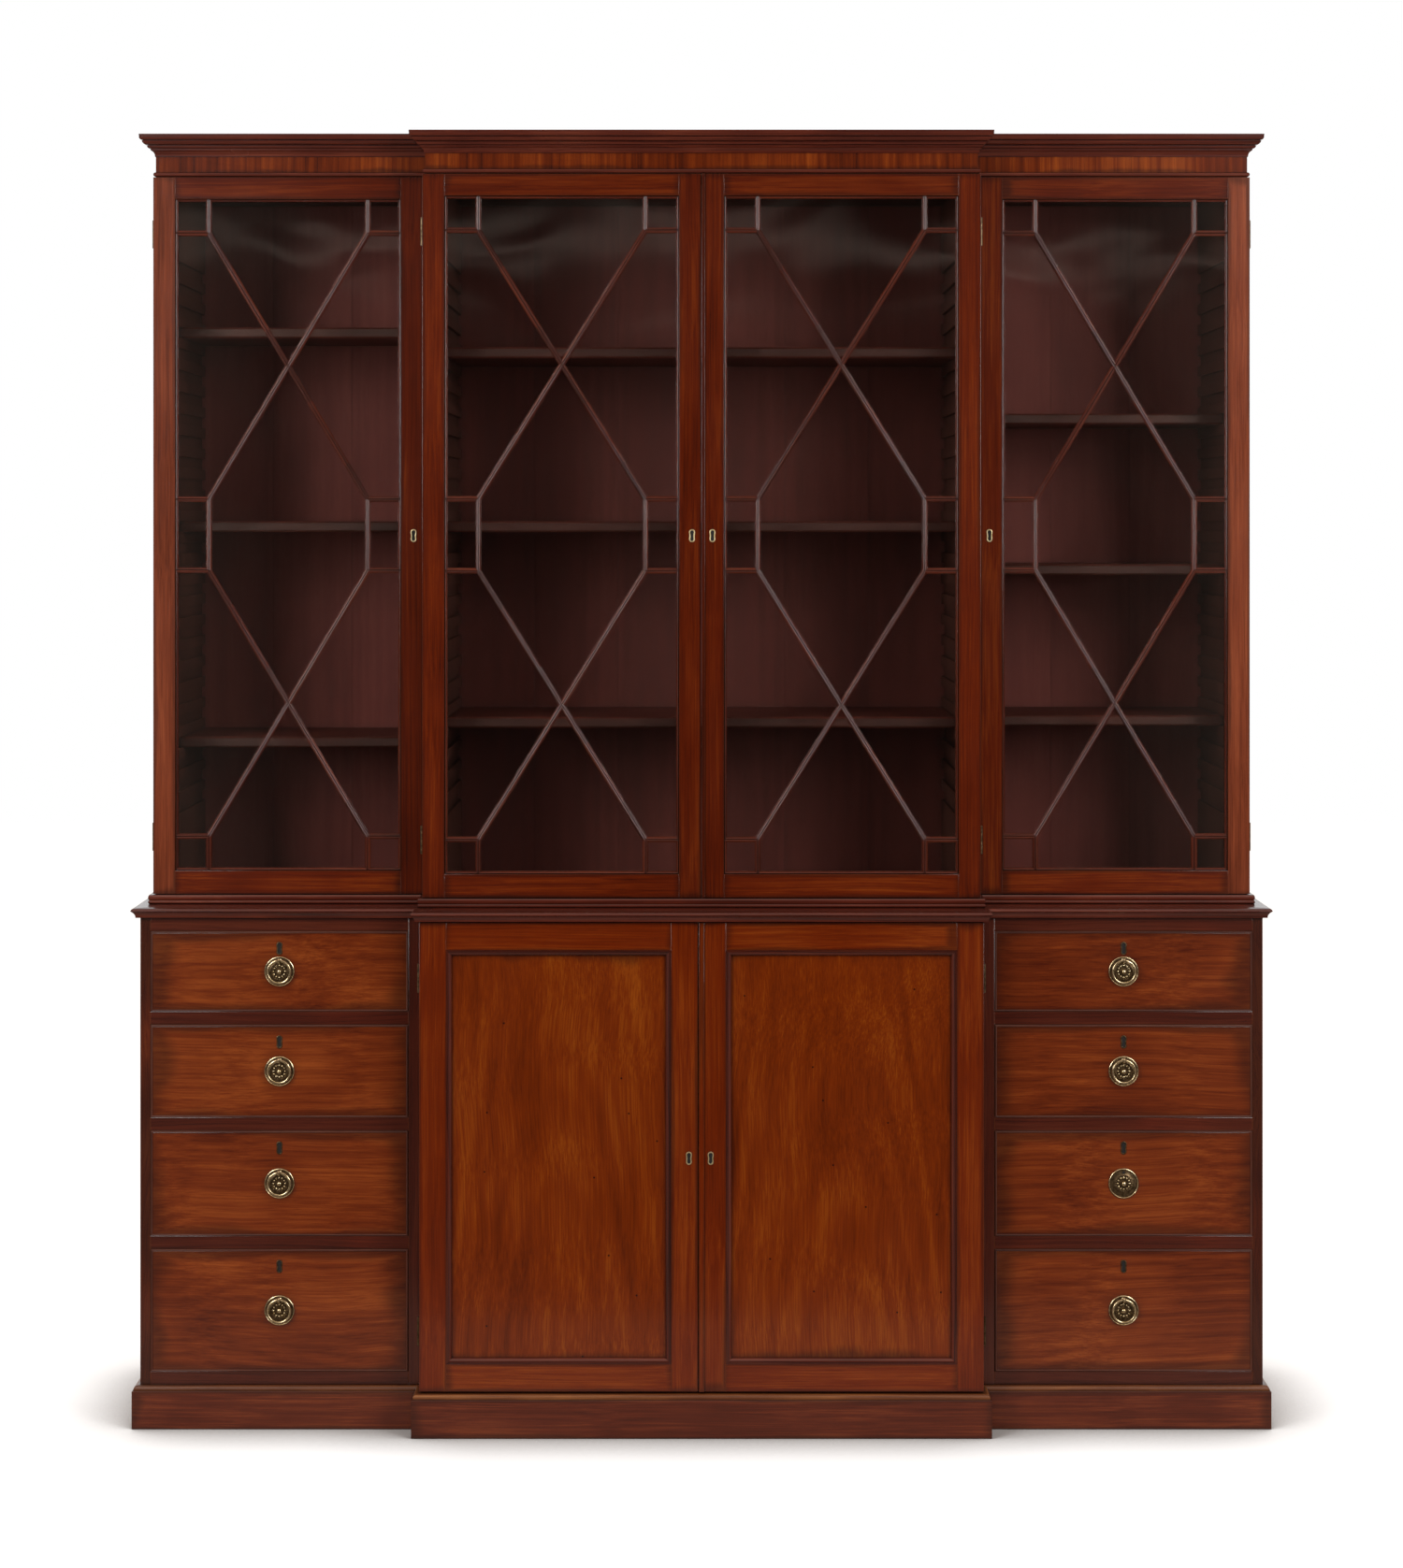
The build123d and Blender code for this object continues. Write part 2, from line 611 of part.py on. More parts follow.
def flats(radius, count, mode=Mode.ADD, inside=True):
    """A many-sided outline drawn inside or outside a circle, turned by half of one side."""
    RegularPolygon(radius, count, major_radius=inside, rotation=180 / count, mode=mode)


def hinge_leaf(pin_x, pin_y, edge_x, leaf_y, foot, knuckles):
    """A hinge plate that ends at edge_x, with its knuckles and the tabs that carry them."""
    inward = edge_x - pin_x
    plate_x = edge_x + HINGE_LEAF_WIDTH / 2 * inward / abs(inward)
    with BuildPart() as leaf:
        with BuildSketch(Plane.XY.offset(foot)):
            with Locations((plate_x, leaf_y)):
                Rectangle(HINGE_LEAF_WIDTH, HINGE_LEAF)
        extrude(amount=HINGE_HEIGHT)
        for start, tall in knuckles:
            with BuildSketch(Plane.XY.offset(start)):
                with Locations((pin_x, pin_y)):
                    flats(KNUCKLE_RADIUS, HINGE_FLATS)
                with Locations((pin_x + inward / 2, leaf_y)):
                    Rectangle(abs(inward), HINGE_LEAF)
            extrude(amount=tall)
    return leaf.part.solid()


def hinge(pin_x, pin_y, edge_x, foot):
    """The fixed leaf with its pin, and the moving leaf that turns on it, of one butt hinge."""
    third = HINGE_HEIGHT / 3
    half_space = (DOOR_GAP + HINGE_LEAF) / 2
    outer_knuckles = ((foot, third), (foot + HINGE_HEIGHT - third, third))
    inner_knuckle = ((foot + third + KNUCKLE_GAP, third - KNUCKLE_GAP - KNUCKLE_GAP),)
    fixed_plate = hinge_leaf(pin_x, pin_y, edge_x, pin_y + half_space, foot, outer_knuckles)
    moving_plate = hinge_leaf(pin_x, pin_y, edge_x, pin_y - half_space, foot, inner_knuckle)
    with BuildPart() as fixed:
        add(fixed_plate)
        with BuildSketch(Plane.XY.offset(foot)):
            with Locations((pin_x, pin_y)):
                flats(PIN_RADIUS, HINGE_FLATS)
        extrude(amount=HINGE_HEIGHT)
    with BuildPart() as moving:
        add(moving_plate)
        with BuildSketch(Plane.XY.offset(foot)):
            with Locations((pin_x, pin_y)):
                flats(PIN_RADIUS + PIN_EASE, HINGE_FLATS, inside=False)
        extrude(amount=HINGE_HEIGHT, mode=Mode.SUBTRACT)
    return fixed.part.solid(), moving.part.solid()


def door_hinges(side, edge, door_back, feet):
    """The fixed and the moving leaves of one door; side tells which way its hinged edge faces."""
    pin_x = side * (edge + KNUCKLE_CLEAR + KNUCKLE_RADIUS)
    pairs = [hinge(pin_x, door_back + DOOR_GAP / 2, side * edge, foot) for foot in feet]
    return [fixed for fixed, moving in pairs], [moving for fixed, moving in pairs]


def keyhole_plate(x, face, z):
    """Brass plate that stands on the face round a keyhole: a round head over a spreading foot."""
    head = PLATE_HEIGHT / 2 - PLATE_ROUND
    foot_height = PLATE_HEIGHT / 2 + head
    with BuildPart() as plate:
        with BuildSketch(Plane(origin=(x, face, z), x_dir=(1, 0, 0), z_dir=FORWARD)):
            with Locations((0, head)):
                flats(PLATE_ROUND, KEYHOLE_FLATS)
            with Locations((0, head - foot_height / 2)):
                Trapezoid(PLATE_FOOT, foot_height, PLATE_SPREAD)
            Trapezoid(KEYHOLE_WIDTH, KEYHOLE_HEIGHT, PLATE_SPREAD, mode=Mode.SUBTRACT)
        extrude(amount=PLATE_PROUD)
    return plate.part.solid()


def lock_box(x_low, x_high, front, z):
    """Corners of a lock let into the back of a stile or a drawer front."""
    low = (x_low, front, z - LOCK_HEIGHT / 2)
    return low, (x_high, front + LOCK_DEPTH, z + LOCK_HEIGHT / 2)


# Glazing pattern: corner squares, middle boxes and the diagonals that cross between them
def pane_outlines(half_width, half_height):
    """Corners of the thirteen panes, on the middle lines of the bars."""
    inner = half_width - CORNER_BOX_WIDTH
    high = half_height - CORNER_BOX_HEIGHT
    box = MIDDLE_BOX_HEIGHT / 2
    cross = (high + box) / 2
    square = [(inner, high), (half_width, high), (half_width, half_height), (inner, half_height)]
    arrow = [(0, cross), (inner, box), (half_width, box), (half_width, high), (inner, high)]
    middle = [(inner, -box), (half_width, -box), (half_width, box), (inner, box)]
    crown = [(-inner, high), (0, cross), (inner, high), (inner, half_height), (-inner, half_height)]
    hexagon = [(0, -cross), (inner, -box), (inner, box), (0, cross), (-inner, box), (-inner, -box)]
    outlines = [hexagon]
    for x_side in (-1, 1):
        outlines.append([(x_side * x, z) for x, z in middle])
        for z_side in (-1, 1):
            outlines.append([(x_side * x, z_side * z) for x, z in square])
            outlines.append([(x_side * x, z_side * z) for x, z in arrow])
    for z_side in (-1, 1):
        outlines.append([(x, z_side * z) for x, z in crown])
    return outlines


def panes(half_width, half_height, margin):
    """Every pane as a face, drawn in from the middle lines of its bars by a margin."""
    faces = []
    for outline in pane_outlines(half_width, half_height):
        with BuildSketch() as pane:
            with BuildLine():
                Polyline(*outline, close=True)
            make_face()
            offset(amount=-margin, kind=Kind.INTERSECTION, mode=Mode.REPLACE)
        faces.append(pane.sketch)
    return faces


def glazing(half_width, half_height, centre_x, face, centre_z):
    """Lattice of glazing bars: rounded astragals in front, and thin ribs that part the panes."""
    front = Plane(origin=(centre_x, face + BAR_SETBACK, centre_z), x_dir=(1, 0, 0), z_dir=FORWARD)
    between_astragals = panes(half_width, half_height, BAR_WIDTH / 2)
    between_ribs = panes(half_width, half_height, RIB / 2)
    glass_outlines = panes(half_width, half_height, RIB / 2 + GLASS_EASE)
    with BuildPart() as bars:
        with BuildSketch(front):
            Rectangle(half_width + half_width, half_height + half_height)
            add(between_astragals, mode=Mode.SUBTRACT)
        extrude(amount=-BAR_DEPTH)
        sight = bars.faces().sort_by(Axis.Y)[0]
        chamfer([edge for rim in sight.inner_wires() for edge in rim.edges()], length=BAR_BEVEL)
        with BuildSketch(front.offset(-BAR_DEPTH)):
            Rectangle(half_width + half_width, half_height + half_height)
            add(between_ribs, mode=Mode.SUBTRACT)
        extrude(amount=-RIB_DEPTH)
    with BuildPart() as glass:
        with BuildSketch(front.offset(-BAR_DEPTH)):
            add(glass_outlines)
        extrude(amount=-GLASS)
    return bars.part.solids(), glass.part.solids()


def glazed_door(name, hinged, hinge_edge, free_edge, face, bead=0.0):
    """One glazed door: frame, glazing bars, panes, and its leaves, lock and keyhole plate.

    hinged is the side of the hinges, and both edges are distances from the middle of the case.
    """
    back = face + GLAZED_DOOR
    x_low, x_high = sorted((hinged * hinge_edge, free_edge))
    inner_low = x_low + STILE
    inner_high = x_high - STILE
    glass_foot = DOOR_FOOT + FOOT_RAIL_OF_DOOR
    glass_head = DOOR_HEAD - TOP_RAIL_OF_DOOR
    keyhole_x = free_edge + hinged * (bead / 2 + KEYHOLE_FROM_EDGE)
    keyhole_z = (DOOR_FOOT + DOOR_HEAD) / 2
    lock_ends = sorted((free_edge, free_edge + hinged * LOCK_WIDTH))
    lock = lock_box(*lock_ends, back - LOCK_DEPTH, keyhole_z)
    pockets = leaf_pockets(hinge_edge, hinged, back - HINGE_LEAF, back, GLAZED_HINGES)
    low_pockets, high_pockets = (pockets, [lock]) if hinged < 0 else ([lock], pockets)
    frame = [
        board((x_low, face, DOOR_FOOT), (inner_low, back, DOOR_HEAD), low_pockets),
        board((inner_high, face, DOOR_FOOT), (x_high, back, DOOR_HEAD), high_pockets),
        board((inner_low, face, DOOR_FOOT), (inner_high, back, glass_foot)),
        board((inner_low, face, glass_head), (inner_high, back, DOOR_HEAD)),
    ]
    if bead:
        bead_low = (free_edge, face - MEETING_BEAD_PROUD, DOOR_FOOT)
        frame.append(board(bead_low, (free_edge + bead, face, DOOR_HEAD)))
    write(f"{name}_frame", frame)
    centre_x = (inner_low + inner_high) / 2
    centre_z = (glass_foot + glass_head) / 2
    half_width = (inner_high - inner_low) / 2
    bars, glass = glazing(half_width, (glass_head - glass_foot) / 2, centre_x, face, centre_z)
    write(f"{name}_glazing_bars", bars)
    write(f"{name}_glass", glass)
    fixed, moving = door_hinges(hinged, hinge_edge, back, GLAZED_HINGES)
    moving.append(board(*lock))
    moving.append(keyhole_plate(keyhole_x, face, keyhole_z))
    write(f"{name}_fittings", moving)
    return fixed


half_gap = MEETING_GAP / 2
wing_free = CENTRE_HALF + SWING_GAP
fixed_leaves = glazed_door("left_wing_door", -1, UPPER_HALF, -wing_free, UPPER_WING)
fixed_leaves += glazed_door("centre_left_door", -1, CENTRE_HALF, -half_gap, UPPER_CENTRE)
fixed_leaves += glazed_door("centre_right_door", 1, CENTRE_HALF, half_gap, UPPER_CENTRE, MEETING_BEAD)
fixed_leaves += glazed_door("right_wing_door", 1, UPPER_HALF, wing_free, UPPER_WING)


# Cupboard doors: a frame round one flat figured panel, with a moulding planted round it
def panel_moulding_profile():
    proud = PANEL_SETBACK + PANEL_MOULDING_PROUD
    with BuildSketch() as profile:
        with BuildLine():
            Polyline((PANEL_MOULDING, 0), (0, 0), (0, proud), (PANEL_MOULDING / 3, proud))
            bow((PANEL_MOULDING / 3, proud), (PANEL_MOULDING, 0), proud * BULGE_SHARE)
        make_face()
    return profile.sketch


def cupboard_door(name, hinged, free_edge, bead=0.0):
    """One cupboard door: frame, panel, panel moulding, and its leaves, lock and keyhole plate."""
    face = BASE_CENTRE
    back = face + CUPBOARD_DOOR
    x_low, x_high = sorted((hinged * CENTRE_HALF, free_edge))
    inner_low = x_low + CUPBOARD_STILE
    inner_high = x_high - CUPBOARD_STILE
    inner_foot = CUPBOARD_FOOT + CUPBOARD_RAIL
    inner_head = CUPBOARD_HEAD - CUPBOARD_RAIL
    keyhole_x = free_edge + hinged * (bead / 2 + KEYHOLE_FROM_EDGE)
    keyhole_z = (CUPBOARD_FOOT + CUPBOARD_HEAD) / 2 - CUPBOARD_KEYHOLE_DROP
    lock_ends = sorted((free_edge, free_edge + hinged * LOCK_WIDTH))
    lock = lock_box(*lock_ends, back - LOCK_DEPTH, keyhole_z)
    pockets = leaf_pockets(CENTRE_HALF, hinged, back - HINGE_LEAF, back, CUPBOARD_HINGES)
    low_pockets, high_pockets = (pockets, [lock]) if hinged < 0 else ([lock], pockets)
    frame = [
        board((x_low, face, CUPBOARD_FOOT), (inner_low, back, CUPBOARD_HEAD), low_pockets),
        board((inner_high, face, CUPBOARD_FOOT), (x_high, back, CUPBOARD_HEAD), high_pockets),
        board((inner_low, face, CUPBOARD_FOOT), (inner_high, back, inner_foot)),
        board((inner_low, face, inner_head), (inner_high, back, CUPBOARD_HEAD)),
    ]
    if bead:
        bead_low = (free_edge, face - MEETING_BEAD_PROUD, CUPBOARD_FOOT)
        frame.append(board(bead_low, (free_edge + bead, face, CUPBOARD_HEAD)))
    write(f"{name}_frame", frame)
    panel_face = face + PANEL_SETBACK
    panel = board((inner_low, panel_face, inner_foot), (inner_high, panel_face + PANEL, inner_head))
    write(f"{name}_panel", [panel])
    line = inner_line((inner_low, panel_face, inner_foot), (inner_high, panel_face, inner_head))
    write(f"{name}_moulding", mitred_run(panel_moulding_profile(), line, FORWARD, closed=True))
    fixed, moving = door_hinges(hinged, CENTRE_HALF, back, CUPBOARD_HINGES)
    moving.append(board(*lock))
    moving.append(keyhole_plate(keyhole_x, face, keyhole_z))
    write(f"{name}_fittings", moving)
    return fixed


split_x = -CUPBOARD_BEAD / 2
fixed_leaves += cupboard_door("cupboard_left_door", -1, split_x - MEETING_GAP)
fixed_leaves += cupboard_door("cupboard_right_door", 1, split_x, CUPBOARD_BEAD)
write("fixed_hinge_leaves", fixed_leaves)


# Drawers
def bead_profile():
    with BuildSketch() as profile:
        Rectangle(COCK_BEAD, DRAWER_FRONT + BEAD_PROUD, align=(Align.MIN, Align.MIN))
    return profile.sketch


def drawer(name, side, floor, height):
    """One drawer: front with its lock pocket, cock beads, two sides, back and bottom."""
    x_low = -DRAWER_RIGHT + DRAWER_GAP
    x_high = -DRAWER_LEFT - DRAWER_GAP
    if side < 0:
        x_low, x_high = -x_high, -x_low
    foot = floor + RUNNING_GAP
    head = floor + height - DRAWER_GAP
    front_back = BASE_WING + DRAWER_FRONT
    end = BASE_WING + DRAWER_LENGTH
    middle = (x_low + x_high) / 2
    lock_low = (middle - LOCK_WIDTH / 2, front_back - LOCK_DEPTH, head - COCK_BEAD - LOCK_HEIGHT)
    lock = (lock_low, (middle + LOCK_WIDTH / 2, front_back, head - COCK_BEAD))
    front_low = (x_low + COCK_BEAD, BASE_WING, foot + COCK_BEAD)
    front = board(front_low, (x_high - COCK_BEAD, front_back, head - COCK_BEAD), [lock])
    wall_head = head - DRAWER_WALL_DROP
    bottom_foot = foot + DRAWER_BOTTOM_RISE
    bottom_head = bottom_foot + DRAWER_BOTTOM
    inner_low = x_low + DRAWER_WALL
    inner_high = x_high - DRAWER_WALL
    left = board((x_low, front_back, foot), (inner_low, end, wall_head))
    right = board((inner_high, front_back, foot), (x_high, end, wall_head))
    bottom = board((inner_low, front_back, bottom_foot), (inner_high, end, bottom_head))
    back_low = (inner_low, end - DRAWER_WALL, bottom_head)
    rear = board(back_low, (inner_high, end, wall_head - DRAWER_BACK_DROP))
    line = inner_line((x_low, front_back, foot), (x_high, front_back, head))
    beads = mitred_run(bead_profile(), line, FORWARD, closed=True)
    write(name, [front, left, right, bottom, rear] + beads)
    return middle, (foot + head) / 2, head, lock


def pull_plate(x, z, with_eye):
    """Round plate of a pull with its boss, and the eye for the ring or the hole that it left."""
    plate_plane = Plane(origin=(x, BASE_WING, z), x_dir=(1, 0, 0), z_dir=FORWARD)
    eye_origin = (x - EYE_THICKNESS / 2, BASE_WING, z + RING_RADIUS)
    eye_plane = Plane(origin=eye_origin, x_dir=FORWARD, z_dir=(1, 0, 0))
    boss_plane = plate_plane.offset(PULL_PLATE)
    reach = PULL_PLATE + RING_STANDOFF
    with BuildPart() as plate:
        with BuildSketch(plate_plane):
            flats(PULL_RADIUS, PULL_FLATS)
        extrude(amount=PULL_PLATE)
        chamfer(plate.faces().sort_by(Axis.Y)[0].outer_wire().edges(), length=PULL_PLATE / 2)
        with BuildSketch(boss_plane):
            flats(BOSS_RADIUS, BOSS_FLATS)
        extrude(amount=BOSS_REACH)
        chamfer(plate.faces().sort_by(Axis.Y)[0].outer_wire().edges(), length=BOSS_BEVEL)
        if with_eye:
            with BuildSketch(eye_plane):
                with Locations((reach / 2, 0)):
                    Rectangle(reach, EYE_RADIUS + EYE_RADIUS)
                with Locations((reach, 0)):
                    flats(EYE_RADIUS, BOSS_FLATS)
                    flats(EYE_BORE, BOSS_FLATS, Mode.SUBTRACT, inside=False)
            extrude(amount=EYE_THICKNESS)
        else:
            with BuildSketch(plate_plane):
                with Locations((0, RING_RADIUS)):
                    flats(EYE_HOLE, BOSS_FLATS)
            extrude(amount=PULL_PLATE, mode=Mode.SUBTRACT)
    return plate.part.solid()


def pull_ring(x, z):
    """The ring that hangs in the eye: straight pieces of six-sided wire, one of them at the top."""
    with BuildSketch(Plane(origin=(x, RING_PLANE, z), x_dir=(1, 0, 0), z_dir=FORWARD)) as middle:
        flats(RING_RADIUS, RING_FLATS, inside=False)
    loop = middle.sketch.face().outer_wire()
    with BuildPart() as ring:
        with BuildSketch(Plane(origin=loop @ 0, x_dir=FORWARD, z_dir=loop % 0)):
            RegularPolygon(RING_WIRE, WIRE_FLATS)
        sweep(path=loop, transition=Transition.RIGHT)
    return ring.part.solid()


for side, wing in ((-1, "left"), (1, "right")):
    for number, (floor, height) in enumerate(zip(drawer_floors(), DRAWER_HEIGHTS), start=1):
        label = f"{wing}_drawer_{number}"
        x, z, head, lock = drawer(label, side, floor, height)
        with_eye = label not in PULLS_WITHOUT_RING
        keyhole = keyhole_plate(x, BASE_WING, head - DRAWER_KEYHOLE_DROP)
        write(f"{label}_pull", [pull_plate(x, z, with_eye), keyhole, board(*lock)])
        if with_eye:
            write(f"{label}_ring", [pull_ring(x, z)])
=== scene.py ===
"""Finishes, fine pieces, studio and camera for the breakfront bookcase.

Metres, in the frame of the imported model: X runs to the right, Y to the back and Z up.
"""

import logging
import math
import random
from collections.abc import Callable, Iterable, Sequence
from dataclasses import dataclass
from enum import Enum
from typing import Any

import bmesh
import bpy
from bpy.types import Material, NodeSocket, NodeTree
from mathutils import Matrix, Vector


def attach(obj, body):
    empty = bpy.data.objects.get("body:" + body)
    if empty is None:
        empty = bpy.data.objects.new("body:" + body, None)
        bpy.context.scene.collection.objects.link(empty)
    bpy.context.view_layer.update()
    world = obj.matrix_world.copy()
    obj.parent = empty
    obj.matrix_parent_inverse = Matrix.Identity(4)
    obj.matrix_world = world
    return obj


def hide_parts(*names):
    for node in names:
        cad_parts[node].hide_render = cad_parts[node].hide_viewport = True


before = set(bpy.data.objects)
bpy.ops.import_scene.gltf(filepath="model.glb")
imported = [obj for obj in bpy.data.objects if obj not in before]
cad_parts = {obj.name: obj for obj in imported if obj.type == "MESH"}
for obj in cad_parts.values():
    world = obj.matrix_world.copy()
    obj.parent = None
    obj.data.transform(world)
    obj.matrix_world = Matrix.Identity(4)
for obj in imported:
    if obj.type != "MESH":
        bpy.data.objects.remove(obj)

LOG = logging.getLogger("bookcase")
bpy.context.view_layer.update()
MM = 0.001
UP = Vector((0, 0, 1))
FORWARD = Vector((0, -1, 0))
# Edges that turn by fewer degrees than these are shaded round: flat work, brasses, a thin wire
FLAT_WORK, ROUND_WORK, WIRE_WORK = 22.0, 40.0, 60.0
Outline = list[tuple[float, float]]


# Nodes and colours


# Settings of nodes, and the inputs and the output of a Mix node for colours
RGBA = {"data_type": "RGBA"}
SMOOTH = {"interpolation_type": "SMOOTHSTEP"}
MIX_FACTOR, MIX_FIRST, MIX_SECOND, MIX_RESULT = 0, 6, 7, 2


def linear(colour: str) -> tuple[float, float, float, float]:
    """Turns an sRGB hex colour into the linear colour that Blender's sockets take.

    Args:
        colour: A colour such as "#6b2908".

    Returns:
        Linear red, green and blue, with full alpha.
    """
    steps = [int(colour[index:index + 2], 16) / 255 for index in (1, 3, 5)]
    red, green, blue = (s / 12.92 if s <= 0.04045 else ((s + 0.055) / 1.055) ** 2.4 for s in steps)
    return red, green, blue, 1.0


def add(
    tree: NodeTree,
    kind: str,
    feeds: dict[str | int, Any] | Sequence[Any] = (),
    settings: dict[str, Any] | str = "",
    stops: Sequence[tuple[float, str]] = (),
    out: str | int = 0,
) -> NodeSocket | None:
    """Adds one node to a tree with its settings, links and colour stops.

    Args:
        tree: The node tree that the node joins.
        kind: Blender's name for the node, after "ShaderNode".
        feeds: A value, or the output that feeds it, for the inputs in turn, or by name or place.
        settings: The node's own properties, or its operation alone.
        stops: Places and colours of a ramp.
        out: The output that is wanted, by name or place.

    Returns:
        That output, or None from a node that has none.
    """
    node = tree.nodes.new(f"ShaderNode{kind}")
    if isinstance(settings, str):
        settings = {"operation": settings} if settings else {}
    for name, value in settings.items():
        setattr(node, name, value)
    for name, value in feeds.items() if isinstance(feeds, dict) else enumerate(feeds):
        if isinstance(value, NodeSocket):
            tree.links.new(value, node.inputs[name])
        else:
            node.inputs[name].default_value = value
    for index, (place, colour) in enumerate(stops):
        ramp = node.color_ramp.elements
        stop = ramp[index] if index < 2 else ramp.new(place)
        stop.position, stop.color = place, linear(colour)
    return node.outputs[out] if node.outputs else None


def new_material(name: str) -> tuple[Material, NodeTree]:
    """Makes an empty material.

    Args:
        name: The finish that it is named for.

    Returns:
        The material and its node tree.
    """
    material = bpy.data.materials.new(name)
    material.use_nodes = True
    material.node_tree.nodes.clear()
    return material, material.node_tree


# Finishes


@dataclass(frozen=True)
class Grain:
    """How the grain of a sawn board lies and how strongly each part of it shows.

    Lengths are in millimetres: the spacing of the growth rings, how far the heart of the log
    wanders under the board, and the width of the stripes. slant is how sharply the feathers
    arch over the middle of the board. The shares are those of the rings, the stripes, the
    fibres, the patches and the feathers.
    """

    ring: float
    wander: float
    stripe: float
    slant: float
    shares: tuple[float, float, float, float, float]


class Figure(Enum):
    """Cuts of mahogany and pine that the bookcase is made of."""

    # Quarter sawn: close straight stripes that run the length of a stile or rail
    STRAIGHT = Grain(9.0, 12.0, 8.0, 4.0, (0.04, 0.3, 0.35, 0.35, 0.1))
    # Flat sawn: long flames that open down the middle of the board, with feathers off them
    FLAME = Grain(8.0, 60.0, 16.0, 22.0, (0.012, 0.24, 0.34, 0.3, 0.34))
    # Drawer fronts: long low streaks that lean and fade
    STREAKED = Grain(9.0, 40.0, 9.0, 8.0, (0.04, 0.4, 0.3, 0.35, 0.25))
    # Veneer laid across the frieze, in short upright bands of light and dark
    CROSSBAND = Grain(12.0, 8.0, 13.0, 0.2, (0.04, 0.55, 0.2, 0.5, 0.1))
    # Plain stained boards inside the case: broad and quiet
    PLAIN = Grain(14.0, 10.0, 24.0, 0.2, (0.04, 0.14, 0.1, 0.3, 0.05))
    # Softwood: wide plain rings
    SOFTWOOD = Grain(7.0, 20.0, 10.0, 0.5, (0.16, 0.25, 0.3, 0.3, 0.1))


